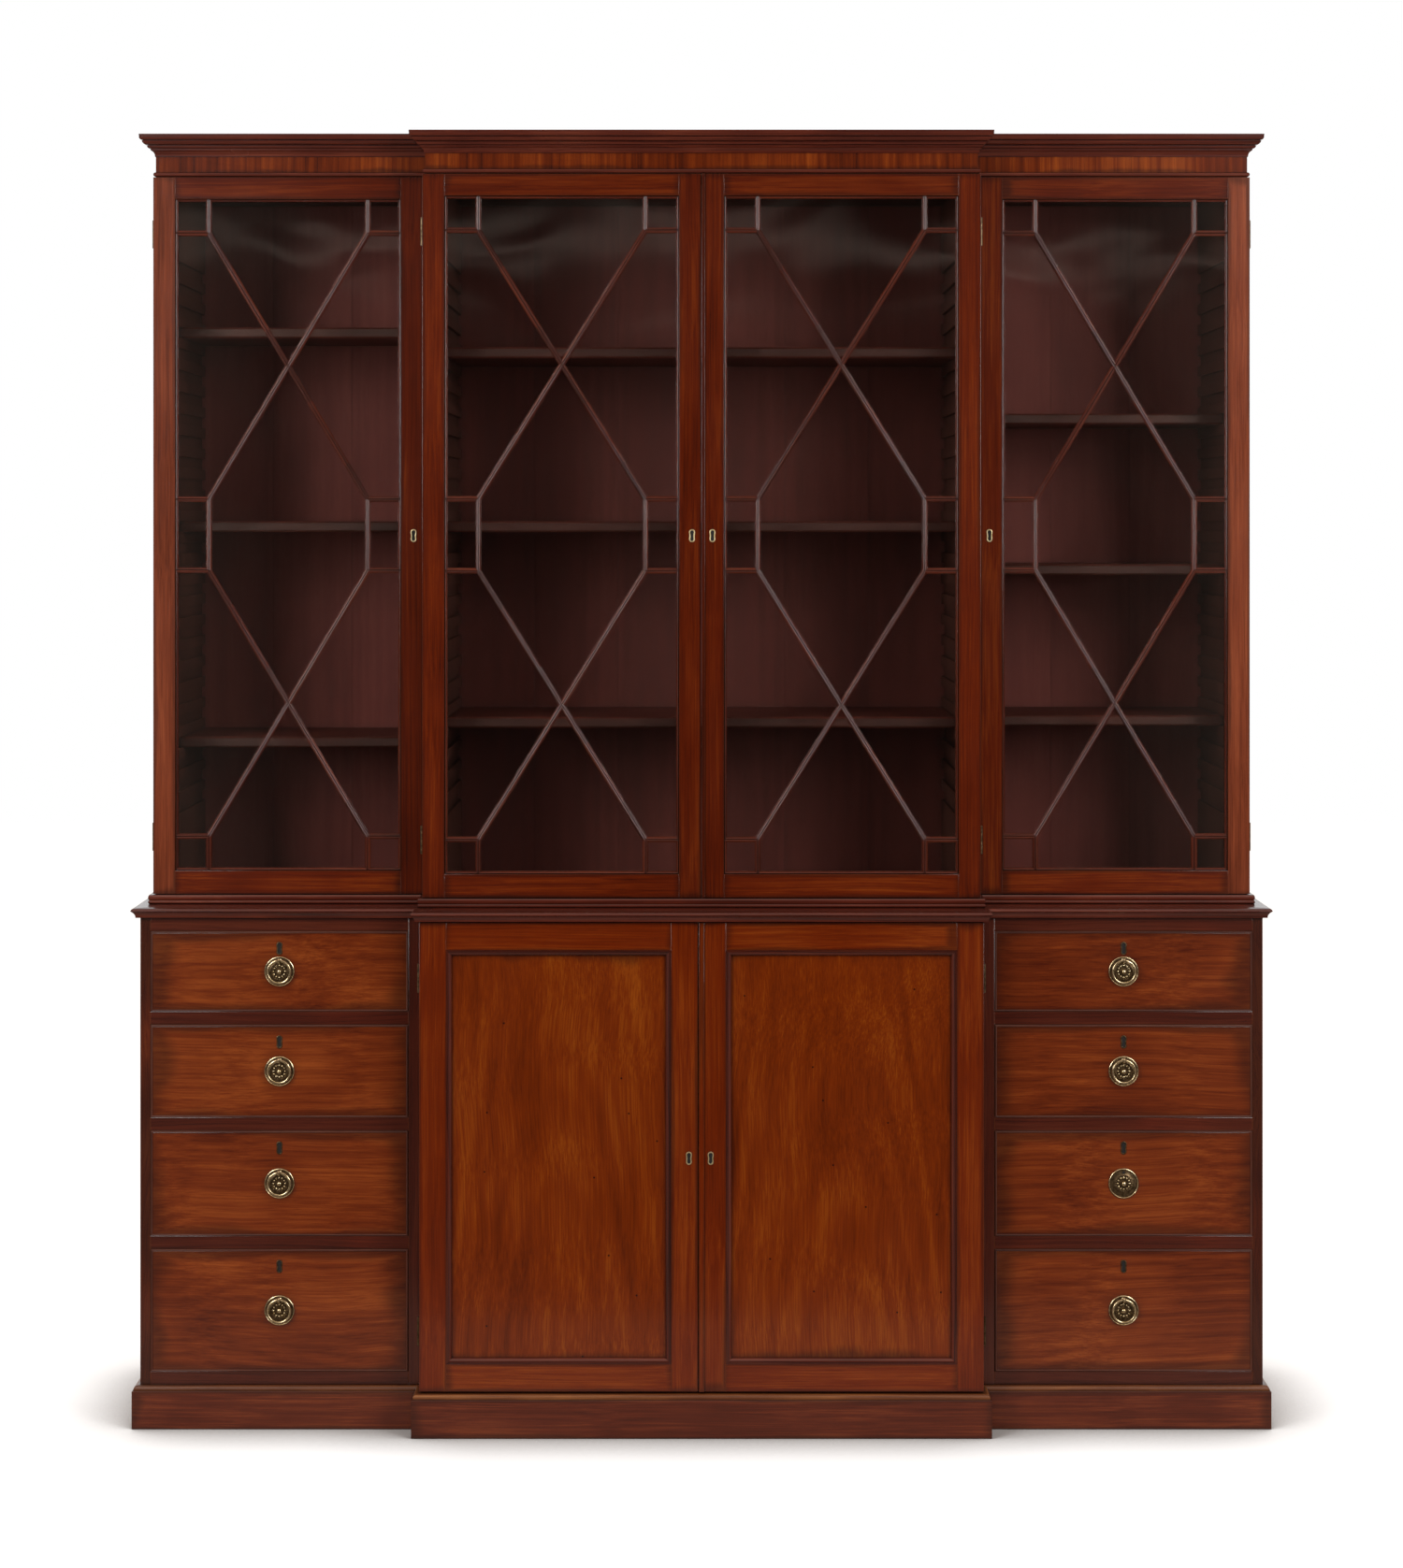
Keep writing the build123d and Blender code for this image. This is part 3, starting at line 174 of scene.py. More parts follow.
@dataclass(frozen=True)
class Wood:
    """A wood and the way its surface was finished.

    The three colours run from the dark streaks to the light ones. gloss is the share of the
    shellac film. The grime share is how much dark is laid in the corners and creases: partly
    dark wax and dust, partly painted shade. The soil width is how far in from a board's edges,
    in millimetres, it is painted darker: partly old wax and handling, partly painted shade.
    corner is how far out, in millimetres, that painted shade and dirt reach from whatever
    stands on the board. Eased arrises are painted paler: partly rubbed wear, partly a painted
    highlight.
    """

    name: str
    deep: str
    body: str
    bright: str
    figure: Figure = Figure.STRAIGHT
    roughness: float = 0.21
    gloss: float = 0.2
    grime_and_shade: float = 0.75
    wear_and_highlight: str = "#8d4a26"
    wear_and_highlight_share: float = 0.35
    pores: float = 0.3
    soil_and_shade: float = 6.0
    soil_and_shade_share: float = 0.5
    corner: float = 10.0
    spots: bool = False
    old_wax_and_shade: str = "#170604"
    knot: str = "#1d0702"
    corner_dirt_and_shade: str = "#140603"

    def material(self) -> Material:
        """Builds the wood from its boards' own grain coordinates.

        Returns:
            The finished material.
        """
        material, tree = new_material(self.name)
        board, middle, half = (
            add(tree, "Attribute", (), {"attribute_name": name}, out="Vector")
            for name in ("grain", "middle", "half")
        )
        here = add(tree, "VectorMath", (board, middle), "SUBTRACT")
        here = add(tree, "VectorMath", (here,), "ABSOLUTE")
        tone, patch, fibre, bent = self.figured(tree, board, here, middle)
        stops = ((0.28, self.deep), (0.72, self.bright), (0.5, self.body))
        colour = add(tree, "ValToRGB", (tone,), stops=stops)
        # Vessel lines are a few tenths of a millimetre wide: drawn at 1.3 mm so that they show
        pore = self.streaks(tree, bent, (26.0, 760.0, 760.0), 1.0)
        pore = add(tree, "MapRange", (pore, 0.56, 0.7, 0.0, self.pores))
        for share, laid_colour in [(pore, self.deep), *self.age(tree, board, half, here, patch)]:
            feeds = {MIX_FACTOR: share, MIX_FIRST: colour, MIX_SECOND: linear(laid_colour)}
            colour = add(tree, "Mix", feeds, RGBA, out=MIX_RESULT)
        height = add(tree, "Math", (fibre, pore), "SUBTRACT")
        bump = add(tree, "Bump", {"Strength": 0.3, "Distance": 0.2 * MM, "Height": height})
        # The polish is duller in the slow patches, by up to 0.06 either way
        uneven = (patch, 0.12, self.roughness - 0.06)
        rough = add(tree, "Math", uneven, "MULTIPLY_ADD") if self.gloss else self.roughness
        film = {"Coat Weight": self.gloss, "Coat Roughness": 0.1}
        feeds = {"Base Color": colour, "Roughness": rough, "IOR": 1.5, "Normal": bump, **film}
        add(tree, "OutputMaterial", (add(tree, "BsdfPrincipled", feeds),))
        return material

    def figured(
        self, tree: NodeTree, board: NodeSocket, here: NodeSocket, middle: NodeSocket
    ) -> tuple[NodeSocket, NodeSocket, NodeSocket, NodeSocket]:
        """Draws the figure: rings, stripes, fibres, patches and feathers.

        Args:
            tree: The wood's node tree.
            board: Grain coordinates in metres.
            here: Distance from the board's middle, along, across and into it.
            middle: The board's own place in the log.

        Returns:
            The tone from 0 to 1, its patches, its fibres, and the coordinates bent by the log.
        """
        grain = self.figure.value
        # The heart of the log drifts as the board runs on, so the rings open and close over it
        run = add(tree, "VectorMath", (board, (2.4, 1.0, 1.0)), "MULTIPLY")
        drift = add(tree, "TexNoise", {"Vector": run, "Scale": 1.0, "Detail": 1.5}, out="Color")
        reach = (0.0, grain.wander * MM, 3 * grain.wander * MM)
        bent = add(tree, "VectorMath", (drift, reach, board), "MULTIPLY_ADD")
        # Blender's rings are a twentieth of a turn apart at a scale of one
        spacing = math.tau / 20 / (grain.ring * MM)
        feeds = {"Vector": bent, "Scale": spacing, "Distortion": 1.6, "Detail": 2.0}
        rings = add(tree, "TexWave", feeds, {"wave_type": "RINGS", "rings_direction": "X"}, out="Fac")
        width = 1 / (grain.stripe * MM)
        stripe = self.streaks(tree, bent, (1.3, width, width), 2.0)
        # Fibres are finer than a millimetre: drawn at 2.5 mm so that they show
        fibre = self.streaks(tree, bent, (5.0, 400.0, 400.0), 2.0)
        patch = self.streaks(tree, board, (3.4, 8.0, 8.0), 2.5)
        arch = add(tree, "VectorMath", (here, here), "MULTIPLY")
        lean = add(tree, "VectorMath", (arch, (0.0, grain.slant, 0.0)), "DOT_PRODUCT", out="Value")
        leant = add(tree, "VectorMath", (lean, (1.0, 0.0, 0.0), bent), "MULTIPLY_ADD")
        feather = self.streaks(tree, leant, (7.0, 9.0, 9.0), 1.5)
        # Each board is up to 0.07 lighter or darker than the next
        own = add(tree, "TexWhiteNoise", {"Vector": middle}, out="Value")
        tone = add(tree, "Math", (own, 0.14, 0.5 - 0.07 - sum(grain.shares) / 2), "MULTIPLY_ADD")
        for part, share in zip((rings, stripe, fibre, patch, feather), grain.shares):
            tone = add(tree, "Math", (part, share, tone), "MULTIPLY_ADD")
        return tone, patch, fibre, bent

    def age(
        self, tree: NodeTree, board: NodeSocket, half: NodeSocket, here: NodeSocket, patch: NodeSocket
    ) -> list[tuple[NodeSocket, str]]:
        """Finds what age and painted light lay on a board: darker edges and corners, partly wax and dirt
        and partly painted shade; knots; and paler arrises, partly rubbed wear and partly a painted
        highlight.

        Args:
            tree: The wood's node tree.
            board: Grain coordinates in metres.
            half: Half the board's size.
            here: Distance from the board's middle.
            patch: Slow noise that makes the darkening uneven.

        Returns:
            The share of each layer and the colour that it brings, the first one laid first.
        """
        rest = add(tree, "VectorMath", (half, here), "SUBTRACT")
        sides = add(tree, "SeparateXYZ", (rest,)).node.outputs
        # The ends darken, in old wax and painted shade, over more than twice the width of the long edges
        end = add(tree, "Math", (sides["X"], 0.4), "MULTIPLY")
        rim = add(tree, "Math", (end, sides["Y"]), "MINIMUM")
        # Painted darker towards the board's edges and ends: partly old wax and handling, partly painted
        # shade
        reach = self.soil_and_shade * MM
        uneven = add(tree, "Math", (patch, -3 * reach, rim), "MULTIPLY_ADD")
        feeds = (uneven, -1.5 * reach, -0.5 * reach, self.soil_and_shade_share, 0.0)
        layers = [(add(tree, "MapRange", feeds, SMOOTH), self.old_wax_and_shade)]
        if self.spots:
            # Pin knots about 3 mm wide, one or two in a hand's breadth
            knots = add(tree, "TexVoronoi", {"Vector": board, "Scale": 7.0}, {"voronoi_dimensions": "2D"})
            layers.append((add(tree, "MapRange", (knots, 0.008, 0.016, 0.85, 0.0)), self.knot))
        # How open each point is, by ambient occlusion: it lays painted shade in corners and creases
        hollow = add(tree, "AmbientOcclusion", {"Distance": self.corner * MM}, {"samples": 4}, out="AO")
        edge = add(tree, "Attribute", (), {"attribute_name": "edge"}, out="Fac")
        # Eased arrises painted paler, kept out of the joints: partly rubbed wear, partly a painted
        # highlight
        wear_and_highlight_mask = add(tree, "Math", (edge, hollow), "MULTIPLY")
        layers.append((add(tree, "Math", (wear_and_highlight_mask, self.wear_and_highlight_share), "MULTIPLY"), self.wear_and_highlight))
        # Corners and creases painted dark: partly dirt and dark wax, partly painted shade
        layers.append((add(tree, "MapRange", (hollow, 0.35, 0.92, self.grime_and_shade, 0.0)), self.corner_dirt_and_shade))
        return layers

    def streaks(
        self, tree: NodeTree, place: NodeSocket, stretch: tuple[float, float, float], detail: float
    ) -> NodeSocket:
        """Draws noise that is stretched along the grain.

        Args:
            tree: The wood's node tree.
            place: Grain coordinates in metres.
            stretch: How many patches there are in a metre, along, across and into the board.
            detail: Finer layers of the noise.

        Returns:
            The noise, from 0 to 1.
        """
        at = add(tree, "VectorMath", (place, stretch), "MULTIPLY")
        return add(tree, "TexNoise", {"Vector": at, "Scale": 1.0, "Detail": detail, "Roughness": 0.55})


@dataclass(frozen=True)
class AgedBrass:
    """Cast and turned brass, once lacquered: pale on what is rubbed, olive-brown in the hollows."""

    name: str = "aged_cast_brass"
    metal: str = "#e2d0aa"
    tarnish: str = "#b5a078"
    hollow: str = "#1c150c"
    roughness: float = 0.24

    def material(self) -> Material:
        """Builds the brass.

        Returns:
            The finished material.
        """
        material, tree = new_material(self.name)
        place = add(tree, "TexCoord", out="Object")
        # Patches of tarnish about 5 mm across
        patches = add(tree, "TexNoise", {"Vector": place, "Scale": 200.0, "Detail": 3.0})
        colour = add(tree, "ValToRGB", (patches,), stops=((0.36, self.tarnish), (0.62, self.metal)))
        clear = add(tree, "AmbientOcclusion", {"Distance": 2.5 * MM}, {"samples": 6}, out="AO")
        dirt = add(tree, "MapRange", (clear, 0.35, 0.8, 0.95, 0.0))
        feeds = {MIX_FACTOR: dirt, MIX_FIRST: colour, MIX_SECOND: linear(self.hollow)}
        colour = add(tree, "Mix", feeds, RGBA, out=MIX_RESULT)
        rough = add(tree, "Math", (patches, -0.16, self.roughness + 0.08), "MULTIPLY_ADD")
        shader = add(tree, "BsdfPrincipled", {"Base Color": colour, "Metallic": 1.0, "Roughness": rough})
        add(tree, "OutputMaterial", (shader,))
        return material


@dataclass(frozen=True)
class CrownGlass:
    """Old blown window glass: clear, a little grey, with slow waves that bend its reflections."""

    name: str = "blown_window_glass"
    tint: str = "#e2e4df"

    def material(self) -> Material:
        """Builds the glass, which lets lamplight through to the shelves.

        Returns:
            The finished material.
        """
        material, tree = new_material(self.name)
        place = add(tree, "TexCoord", out="Object")
        # Slow waves, about 300 mm long and 160 mm high, that lean across the pane
        feeds = {"Vector": place, "Rotation": (0.0, math.radians(28), 0.0), "Scale": (3.2, 3.2, 6.0)}
        at = add(tree, "Mapping", feeds)
        waves = add(tree, "TexNoise", {"Vector": at, "Scale": 1.0, "Detail": 1.2, "Distortion": 0.4})
        bump = add(tree, "Bump", {"Strength": 1.0, "Distance": 0.9 * MM, "Height": waves})
        tint = linear(self.tint)
        feeds = {"Base Color": tint, "Roughness": 0.04, "IOR": 1.5, "Transmission Weight": 1.0}
        shader = add(tree, "BsdfPrincipled", {**feeds, "Normal": bump})
        clear = add(tree, "BsdfTransparent", {"Color": tint})
        rays = add(tree, "LightPath").node.outputs
        lamps = add(tree, "Math", (rays["Is Shadow Ray"], rays["Is Diffuse Ray"]), "MAXIMUM")
        add(tree, "OutputMaterial", (add(tree, "MixShader", (lamps, shader, clear)),))
        return material


@dataclass(frozen=True)
class KeyholeShade:
    """Painted shade in a keyhole: a near-black sheet for the unlit inside of the lock, with a little grit.
    """

    name: str = "painted_shade_in_keyhole"
    dark: str = "#060403"
    speck: str = "#1c1410"

    def material(self) -> Material:
        """Builds the painted shade of the keyhole.

        Returns:
            The finished material.
        """
        material, tree = new_material(self.name)
        place = add(tree, "TexCoord", out="Object")
        # Grit of about a millimetre
        grit = add(tree, "TexNoise", {"Vector": place, "Scale": 900.0, "Detail": 2.0})
        colour = add(tree, "ValToRGB", (grit,), stops=((0.4, self.dark), (0.75, self.speck)))
        shader = add(tree, "BsdfPrincipled", {"Base Color": colour, "Roughness": 0.8})
        add(tree, "OutputMaterial", (shader,))
        return material


class Finish(Enum):
    """Every finish of the bookcase.

    Polished pieces are Cuban mahogany under French polish: a red-brown wood with a satin film.
    """

    # French polish on quarter-sawn wood: a deep even red with a soft sheen
    DOORS = Wood("polished_mahogany_stiles", "#380d02", "#5c1b03", "#803609")
    # The same, in the shade of its neighbours: a tone darker
    RAILS = Wood("shaded_mahogany_rails", "#300b02", "#511602", "#702c08")
    # Thin bars with a thicker film: their round beads carry a fine pale line
    BARS = Wood("polished_mahogany_glazing_bars", "#2c0c05", "#541c0b", "#76321a", gloss=0.5, soil_and_shade=0.5)
    # Waxed edges of boards: brown, and painted dark in every corner: partly dirt, partly painted shade
    JOINERY = Wood(
        "waxed_dark_mahogany_edges", "#331009", "#5f2212", "#7a3620", grime_and_shade=0.85, soil_and_shade=4.0, soil_and_shade_share=0.55
    )
    # French polish at hand height, less darkened: a warmer red
    CUPBOARD = Wood("polished_mahogany_cupboard_frame", "#461302", "#641f02", "#823809")
    # A paler, browner copy of the polished stile wood for the wings' outer stiles: painted sheen, for the
    # haze of reflected light on them
    FADED = Wood("sheen_painted_mahogany_outer_stile", "#4a1c0c", "#71321a", "#904828")
    # Flat-sawn panel under polish: orange flames with a few pin knots
    PANELS = Wood(
        "figured_mahogany_panel", "#4a1601", "#6c2602", "#8c440a", Figure.FLAME, soil_and_shade=9.0, spots=True
    )
    # Polished fronts: orange streaks, painted darker towards every edge and round the brasses: partly old
    # wax and dirt, partly painted shade
    DRAWERS = Wood(
        "streaked_mahogany_drawer_front", "#451304", "#6a290b", "#8a4217", Figure.STREAKED, soil_and_shade=16.0,
        corner=22.0,
    )
    # Cock beads in a paler colour, dull and a little grey: partly rubbed bare by hands, partly a painted
    # highlight on their rounded fronts
    BEADS = Wood(
        "rubbed_and_highlight_painted_mahogany_cock_bead", "#35120a", "#5a2a1b", "#7c4a38", roughness=0.38, gloss=0.0, soil_and_shade=0.5
    )
    # Run mouldings under polish: dark, and painted darker between the reeds: partly packed dust, partly
    # painted shade under each reed
    REEDS = Wood(
        "polished_mahogany_reeds", "#2d0b04", "#4f190b", "#6c2f1b", roughness=0.25, gloss=0.25, grime_and_shade=0.95,
        soil_and_shade=1.0, corner=4.0,
    )
    # Veneer laid across the frieze: upright bands from near black to orange
    VENEER = Wood(
        "crossbanded_mahogany_veneer", "#3a1003", "#642305", "#8f420f", Figure.CROSSBAND, soil_and_shade=3.0
    )
    # Waxed boards that feet and brooms have scuffed: duller, with pale arrises: partly scuffs, partly a
    # painted highlight
    PLINTH = Wood(
        "scuffed_mahogany_plinth", "#351006", "#58200d", "#813c19", roughness=0.32, gloss=0.1, grime_and_shade=0.6,
        wear_and_highlight="#8c5a3c", soil_and_shade=9.0,
    )
    # The plinth's rounded cap in a paler golden brown: partly rubbed down to the bare wood, partly painted
    # light from above
    CAP = Wood(
        "rubbed_and_lit_mahogany_plinth_cap", "#3a1806", "#5e3012", "#8c5524", roughness=0.32, gloss=0.1,
        grime_and_shade=0.95, soil_and_shade=0.5, corner=5.0,
    )
    # Flat-sawn ends under polish: broad quiet flames, painted dark round the edges: partly old wax, partly
    # painted shade
    ENDS = Wood(
        "polished_mahogany_ends", "#3c1209", "#5a210e", "#783819", Figure.FLAME, soil_and_shade=14.0, soil_and_shade_share=0.7
    )
    # Waxed shelves: matt, and dark in the shade of the case
    SHELVES = Wood("mahogany_shelf", "#3a0f08", "#551b0f", "#702b1c", roughness=0.5, gloss=0.0, soil_and_shade=1.0)
    # Stained boards at the sides of the bays: matt brown
    CHEEKS = Wood(
        "stained_mahogany_cheek", "#33160f", "#4b2219", "#643428", Figure.PLAIN, roughness=0.55, gloss=0.0
    )
    # Stained back boards: matt, and a dusty plum red
    BACKS = Wood(
        "stained_mahogany_backs", "#471512", "#67251f", "#853c35", Figure.PLAIN, roughness=0.6, gloss=0.0,
        grime_and_shade=0.3, wear_and_highlight_share=0.0, soil_and_shade=0.5,
    )
    # The same boards in the wings, painted paler and pinker: painted light, for the lamplight that falls on
    # the backs of the wing bays
    WING_BACKS = Wood(
        "lamplit_painted_mahogany_wing_backs", "#5c221e", "#833631", "#a2504a", Figure.PLAIN, roughness=0.6,
        gloss=0.0, grime_and_shade=0.3, wear_and_highlight_share=0.0, soil_and_shade=0.5,
    )
    # Planed oak with a little wax: pale and matt, painted brown at its edges and corners: partly handling,
    # partly painted shade
    LININGS = Wood(
        "waxed_oak_drawer_lining", "#7d5a33", "#9c7649", "#b8925f", roughness=0.6, gloss=0.0, grime_and_shade=0.7,
        wear_and_highlight="#c4a273",
    )
    # Sawn pine, never finished: wide rings, dry and dusty
    SOFTWOOD = Wood(
        "bare_pine_back_boards", "#6b4a29", "#8b683f", "#a68458", Figure.SOFTWOOD, roughness=0.75,
        gloss=0.0, grime_and_shade=0.8, wear_and_highlight="#b89a6a",
    )
    # Cast and turned brass: bright where it is rubbed
    BRASS = AgedBrass()
    # Brass that was never cleaned: almost black, with a dull shine
    BRONZE = AgedBrass("blackened_brass", "#7a664c", "#4b3c29", "#120c07", 0.4)
    # The rims of the doors' keyholes, rubbed by keys: pale gold
    RIMS = AgedBrass("rubbed_brass_keyhole_rim", "#ecd9ad", "#cdb482", "#7d6642", 0.42)
    GLASS = CrownGlass()
    # Painted shade: a near-black sheet inside the keyholes and the empty eye hole
    SOOT = KeyholeShade()

    @property
    def material(self) -> Material:
        """The finish as a material, which is made when it is first asked for."""
        return bpy.data.materials.get(self.value.name) or self.value.material()


# Making pieces


def arc(start: tuple[float, float], end: tuple[float, float], rise: float, steps: int = 8) -> Outline:
    """Points of an arc, from its start to just before its end.

    Args:
        start: First point.
        end: Last point, which is left to the next part of the outline.
        rise: Height of the arc over its chord, to the right of the way from start to end.
        steps: Straight steps in the arc.

    Returns:
        The points.
    """
    (x_1, y_1), (x_2, y_2) = start, end
    chord = math.hypot(x_2 - x_1, y_2 - y_1)
    right = ((y_2 - y_1) / chord, -(x_2 - x_1) / chord)
    half_angle = 2 * math.atan(2 * rise / chord)
    radius = chord / 2 / math.sin(half_angle)
    points = []
    for step in range(steps):
        angle = half_angle * (2 * step / steps - 1)
        along = chord / 2 + radius * math.sin(angle)
        off = radius * (math.cos(angle) - math.cos(half_angle))
        points.append((x_1 - right[1] * along + right[0] * off, y_1 + right[0] * along + right[1] * off))
    return points


def breakfront(half: float, wing_face: float, height: float, drawn_in: float = 0.0) -> list[Vector]:
    """The line of a moulding round the sides and the stepped front, from the back left corner.

    Args:
        half: Half the width over the wings.
        wing_face: Plane of the wings' faces.
        height: Height of the line.
        drawn_in: How far the whole line is set in.

    Returns:
        The eight corners.
    """
    side, front, step = drawn_in - half, wing_face + drawn_in, drawn_in - CASE.centre_half
    plan = [(side, CASE.back), (side, front), (step, front), (step, front - CASE.step)]
    plan += [(-x, y) for x, y in reversed(plan)]
    return [Vector((x, y, height)) for x, y in plan]


def once(parts: Iterable[Any]) -> list[Any]:
    """The parts of a mesh with no repeats, in the order that they come, so that each run is the same."""
    return list(dict.fromkeys(parts))


# How far apart boards may lie in the log: along it, across it and out from its heart, in metres
LOG_SPANS = ((-9, 9), (-0.04, 0.04), (0.05, 0.12))


class Piece:
    """One piece of the bookcase while it is made: a mesh whose boards each carry their own grain."""

    def __init__(self, name: str) -> None:
        """Starts an empty piece.

        Args:
            name: The name that the finished piece has.
        """
        self.name = name
        self.mesh = bmesh.new()
        self.board = self.mesh.faces.layers.int.new("board")
        self.edge = self.mesh.faces.layers.float.new("edge")
        self.grain = self.mesh.verts.layers.float_vector.new("grain")
        self.middle = self.mesh.verts.layers.float_vector.new("middle")
        self.half = self.mesh.verts.layers.float_vector.new("half")
        self.finishes: list[Finish] = []
        self.chance = random.Random(name)
        self.count = 0

    def faces_of(self, board: int) -> list[bmesh.types.BMFace]:
        """The faces of one board."""
        return [face for face in self.mesh.faces if face[self.board] == board]

    def claim(self, faces: Sequence[bmesh.types.BMFace], finish: Finish) -> int:
        """Marks new faces as one board with one finish.

        Args:
            faces: The board's faces.
            finish: Its finish.

        Returns:
            The board's number.
        """
        self.count += 1
        if finish not in self.finishes:
            self.finishes.append(finish)
        for face in faces:
            face[self.board] = self.count
            face.material_index = self.finishes.index(finish)
        return self.count

    def lay_grain(self, board: int, axes: tuple[Vector, Vector, Vector] | None = None) -> None:
        """Writes a board's grain coordinates: along it, across it and into it, in metres.

        Each board starts at its own chance place in the log, so no two look alike. The place of
        its middle and half its size go with them.

        Args:
            board: The board's number.
            axes: Its three directions, or None to take its longest side for the grain.
        """
        verts = once(vert for face in self.faces_of(board) for vert in face.verts)
        low = Vector([min(vert.co[axis] for vert in verts) for axis in range(3)])
        high = Vector([max(vert.co[axis] for vert in verts) for axis in range(3)])
        if axes is None:
            order = sorted(range(3), key=lambda axis: low[axis] - high[axis])
            axes = tuple(Vector([float(axis == own) for axis in range(3)]) for own in order)
        chance = self.chance
        start = Vector([chance.uniform(*span) for span in LOG_SPANS])
        middle = (low + high) / 2
        half = Vector([abs(axis.dot(high - low)) / 2 for axis in axes])
        for vert in verts:
            vert[self.grain] = start + Vector([axis.dot(vert.co - middle) for axis in axes])
            vert[self.middle] = start
            vert[self.half] = half

    def copy_boards(self, node: str, finish_of: Callable[[int], Finish | None], ease: float = 0.5) -> None:
        """Copies the boards of a CAD node and eases their sharp edges.

        A node's triangles come board by board, so a board ends where every edge so far has met
        its opposite.

        Args:
            node: The CAD node.
            finish_of: The finish of each board by its place in the node, or None to leave it out.
            ease: Width of the eased edges in millimetres.
        """
        known = len(self.mesh.faces)
        self.mesh.from_mesh(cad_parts[node].data)
        self.mesh.faces.ensure_lookup_table()
        unmatched: set[tuple[tuple[int, ...], tuple[int, ...]]] = set()
        run: list[bmesh.types.BMFace] = []
        runs: list[list[bmesh.types.BMFace]] = []
        for face in self.mesh.faces[known:]:
            run.append(face)
            ring = [tuple(round(value / MM * 1000) for value in vert.co) for vert in face.verts]
            for start, end in zip(ring, ring[1:] + ring[:1]):
                if (end, start) in unmatched:
                    unmatched.remove((end, start))
                else:
                    unmatched.add((start, end))
            if not unmatched:
                runs.append(run)
                run = []
        boards, left_out = [], []
        for index, faces in enumerate(runs):
            finish = finish_of(index)
            if finish is None:
                left_out += faces
            else:
                boards.append(self.claim(faces, finish))
        bmesh.ops.delete(self.mesh, geom=left_out, context="FACES")
        for board in boards:
            self.tidy(board)
            self.ease_edges(board, ease)
            self.lay_grain(board)

    def tidy(self, board: int) -> None:
        """Joins a copied board's loose triangles into whole faces.

        Args:
            board: The board's number.
        """
        verts = once(vert for face in self.faces_of(board) for vert in face.verts)
        bmesh.ops.remove_doubles(self.mesh, verts=verts, dist=0.001 * MM)
        faces = self.faces_of(board)
        verts = once(vert for face in faces for vert in face.verts)
        edges = once(edge for face in faces for edge in face.edges)
        bmesh.ops.dissolve_limit(self.mesh, angle_limit=math.radians(0.5), verts=verts, edges=edges)

    def ease_edges(self, board: int, ease: float, sharpest: float = 50.0) -> None:
        """Takes the sharpness off a board's edges and marks them for the paler arris colour: partly rubbed
        wear, partly a painted highlight.

        Args:
            board: The board's number.
            ease: Width in millimetres.
            sharpest: Edges that turn by more than this many degrees are eased.
        """
        edges = once(edge for face in self.faces_of(board) for edge in face.edges)
        sharp = [edge for edge in edges if edge.calc_face_angle(0) > math.radians(sharpest)]
        if not ease or not sharp:
            return
        slot = self.faces_of(board)[0].material_index
        made = bmesh.ops.bevel(
            self.mesh, geom=sharp, offset=ease * MM, offset_type="OFFSET", segments=2, profile=0.5,
            affect="EDGES", clamp_overlap=True, material=-1,
        )
        for face in made["faces"]:
            face[self.board] = board
            face[self.edge] = 1.0
            face.material_index = slot

    def mould(
        self,
        profile: Outline,
        line: Sequence[Vector],
        up: Vector,
        finish: Finish,
        closed: bool = False,
        crossed: bool = False,
    ) -> None:
        """Runs a moulding along a line, mitred where the line turns.

        Args:
            profile: Closed outline in millimetres: how far it stands out, and how far along up.
            line: The line's corners.
            up: The profile's second direction.
            finish: The moulding's finish.
            closed: Whether the line returns to its start.
            crossed: Whether the grain runs across the moulding, as a veneer's does.
        """
        corners = list(line) + ([line[0]] if closed else [])
        ways = [(end - start).normalized() for start, end in zip(corners, corners[1:])]
        outs = [way.cross(up) for way in ways]
        for index, (way, out) in enumerate(zip(ways, outs)):
            before = outs[index - 1] if closed or index else out
            after = outs[(index + 1) % len(outs)] if closed or index + 1 < len(outs) else out
            start, end = corners[index], corners[index + 1]
            start_mitre = (before + out) / (1 + before.dot(out))
            end_mitre = (out + after) / (1 + out.dot(after))
            ring = [self.mesh.verts.new(start + start_mitre * x * MM + up * y * MM) for x, y in profile]
            loop = [self.mesh.edges.new(pair) for pair in zip(ring, ring[1:] + ring[:1])]
            made = bmesh.ops.extrude_edge_only(self.mesh, edges=loop)["geom"]
            far = [part for part in made if isinstance(part, bmesh.types.BMVert)]
            for vert in far:
                off = vert.co - start
                vert.co = end + end_mitre * off.dot(out) + up * off.dot(up)
            faces = [part for part in made if isinstance(part, bmesh.types.BMFace)]
            edges = [part for part in made if isinstance(part, bmesh.types.BMEdge)]
            for rim in (loop, [edge for edge in edges if all(vert in far for vert in edge.verts)]):
                faces += bmesh.ops.contextual_create(self.mesh, geom=rim)["faces"]
            bmesh.ops.recalc_face_normals(self.mesh, faces=faces)
            board = self.claim(faces, finish)
            self.lay_grain(board, (up, way, out) if crossed else (way, up, out))

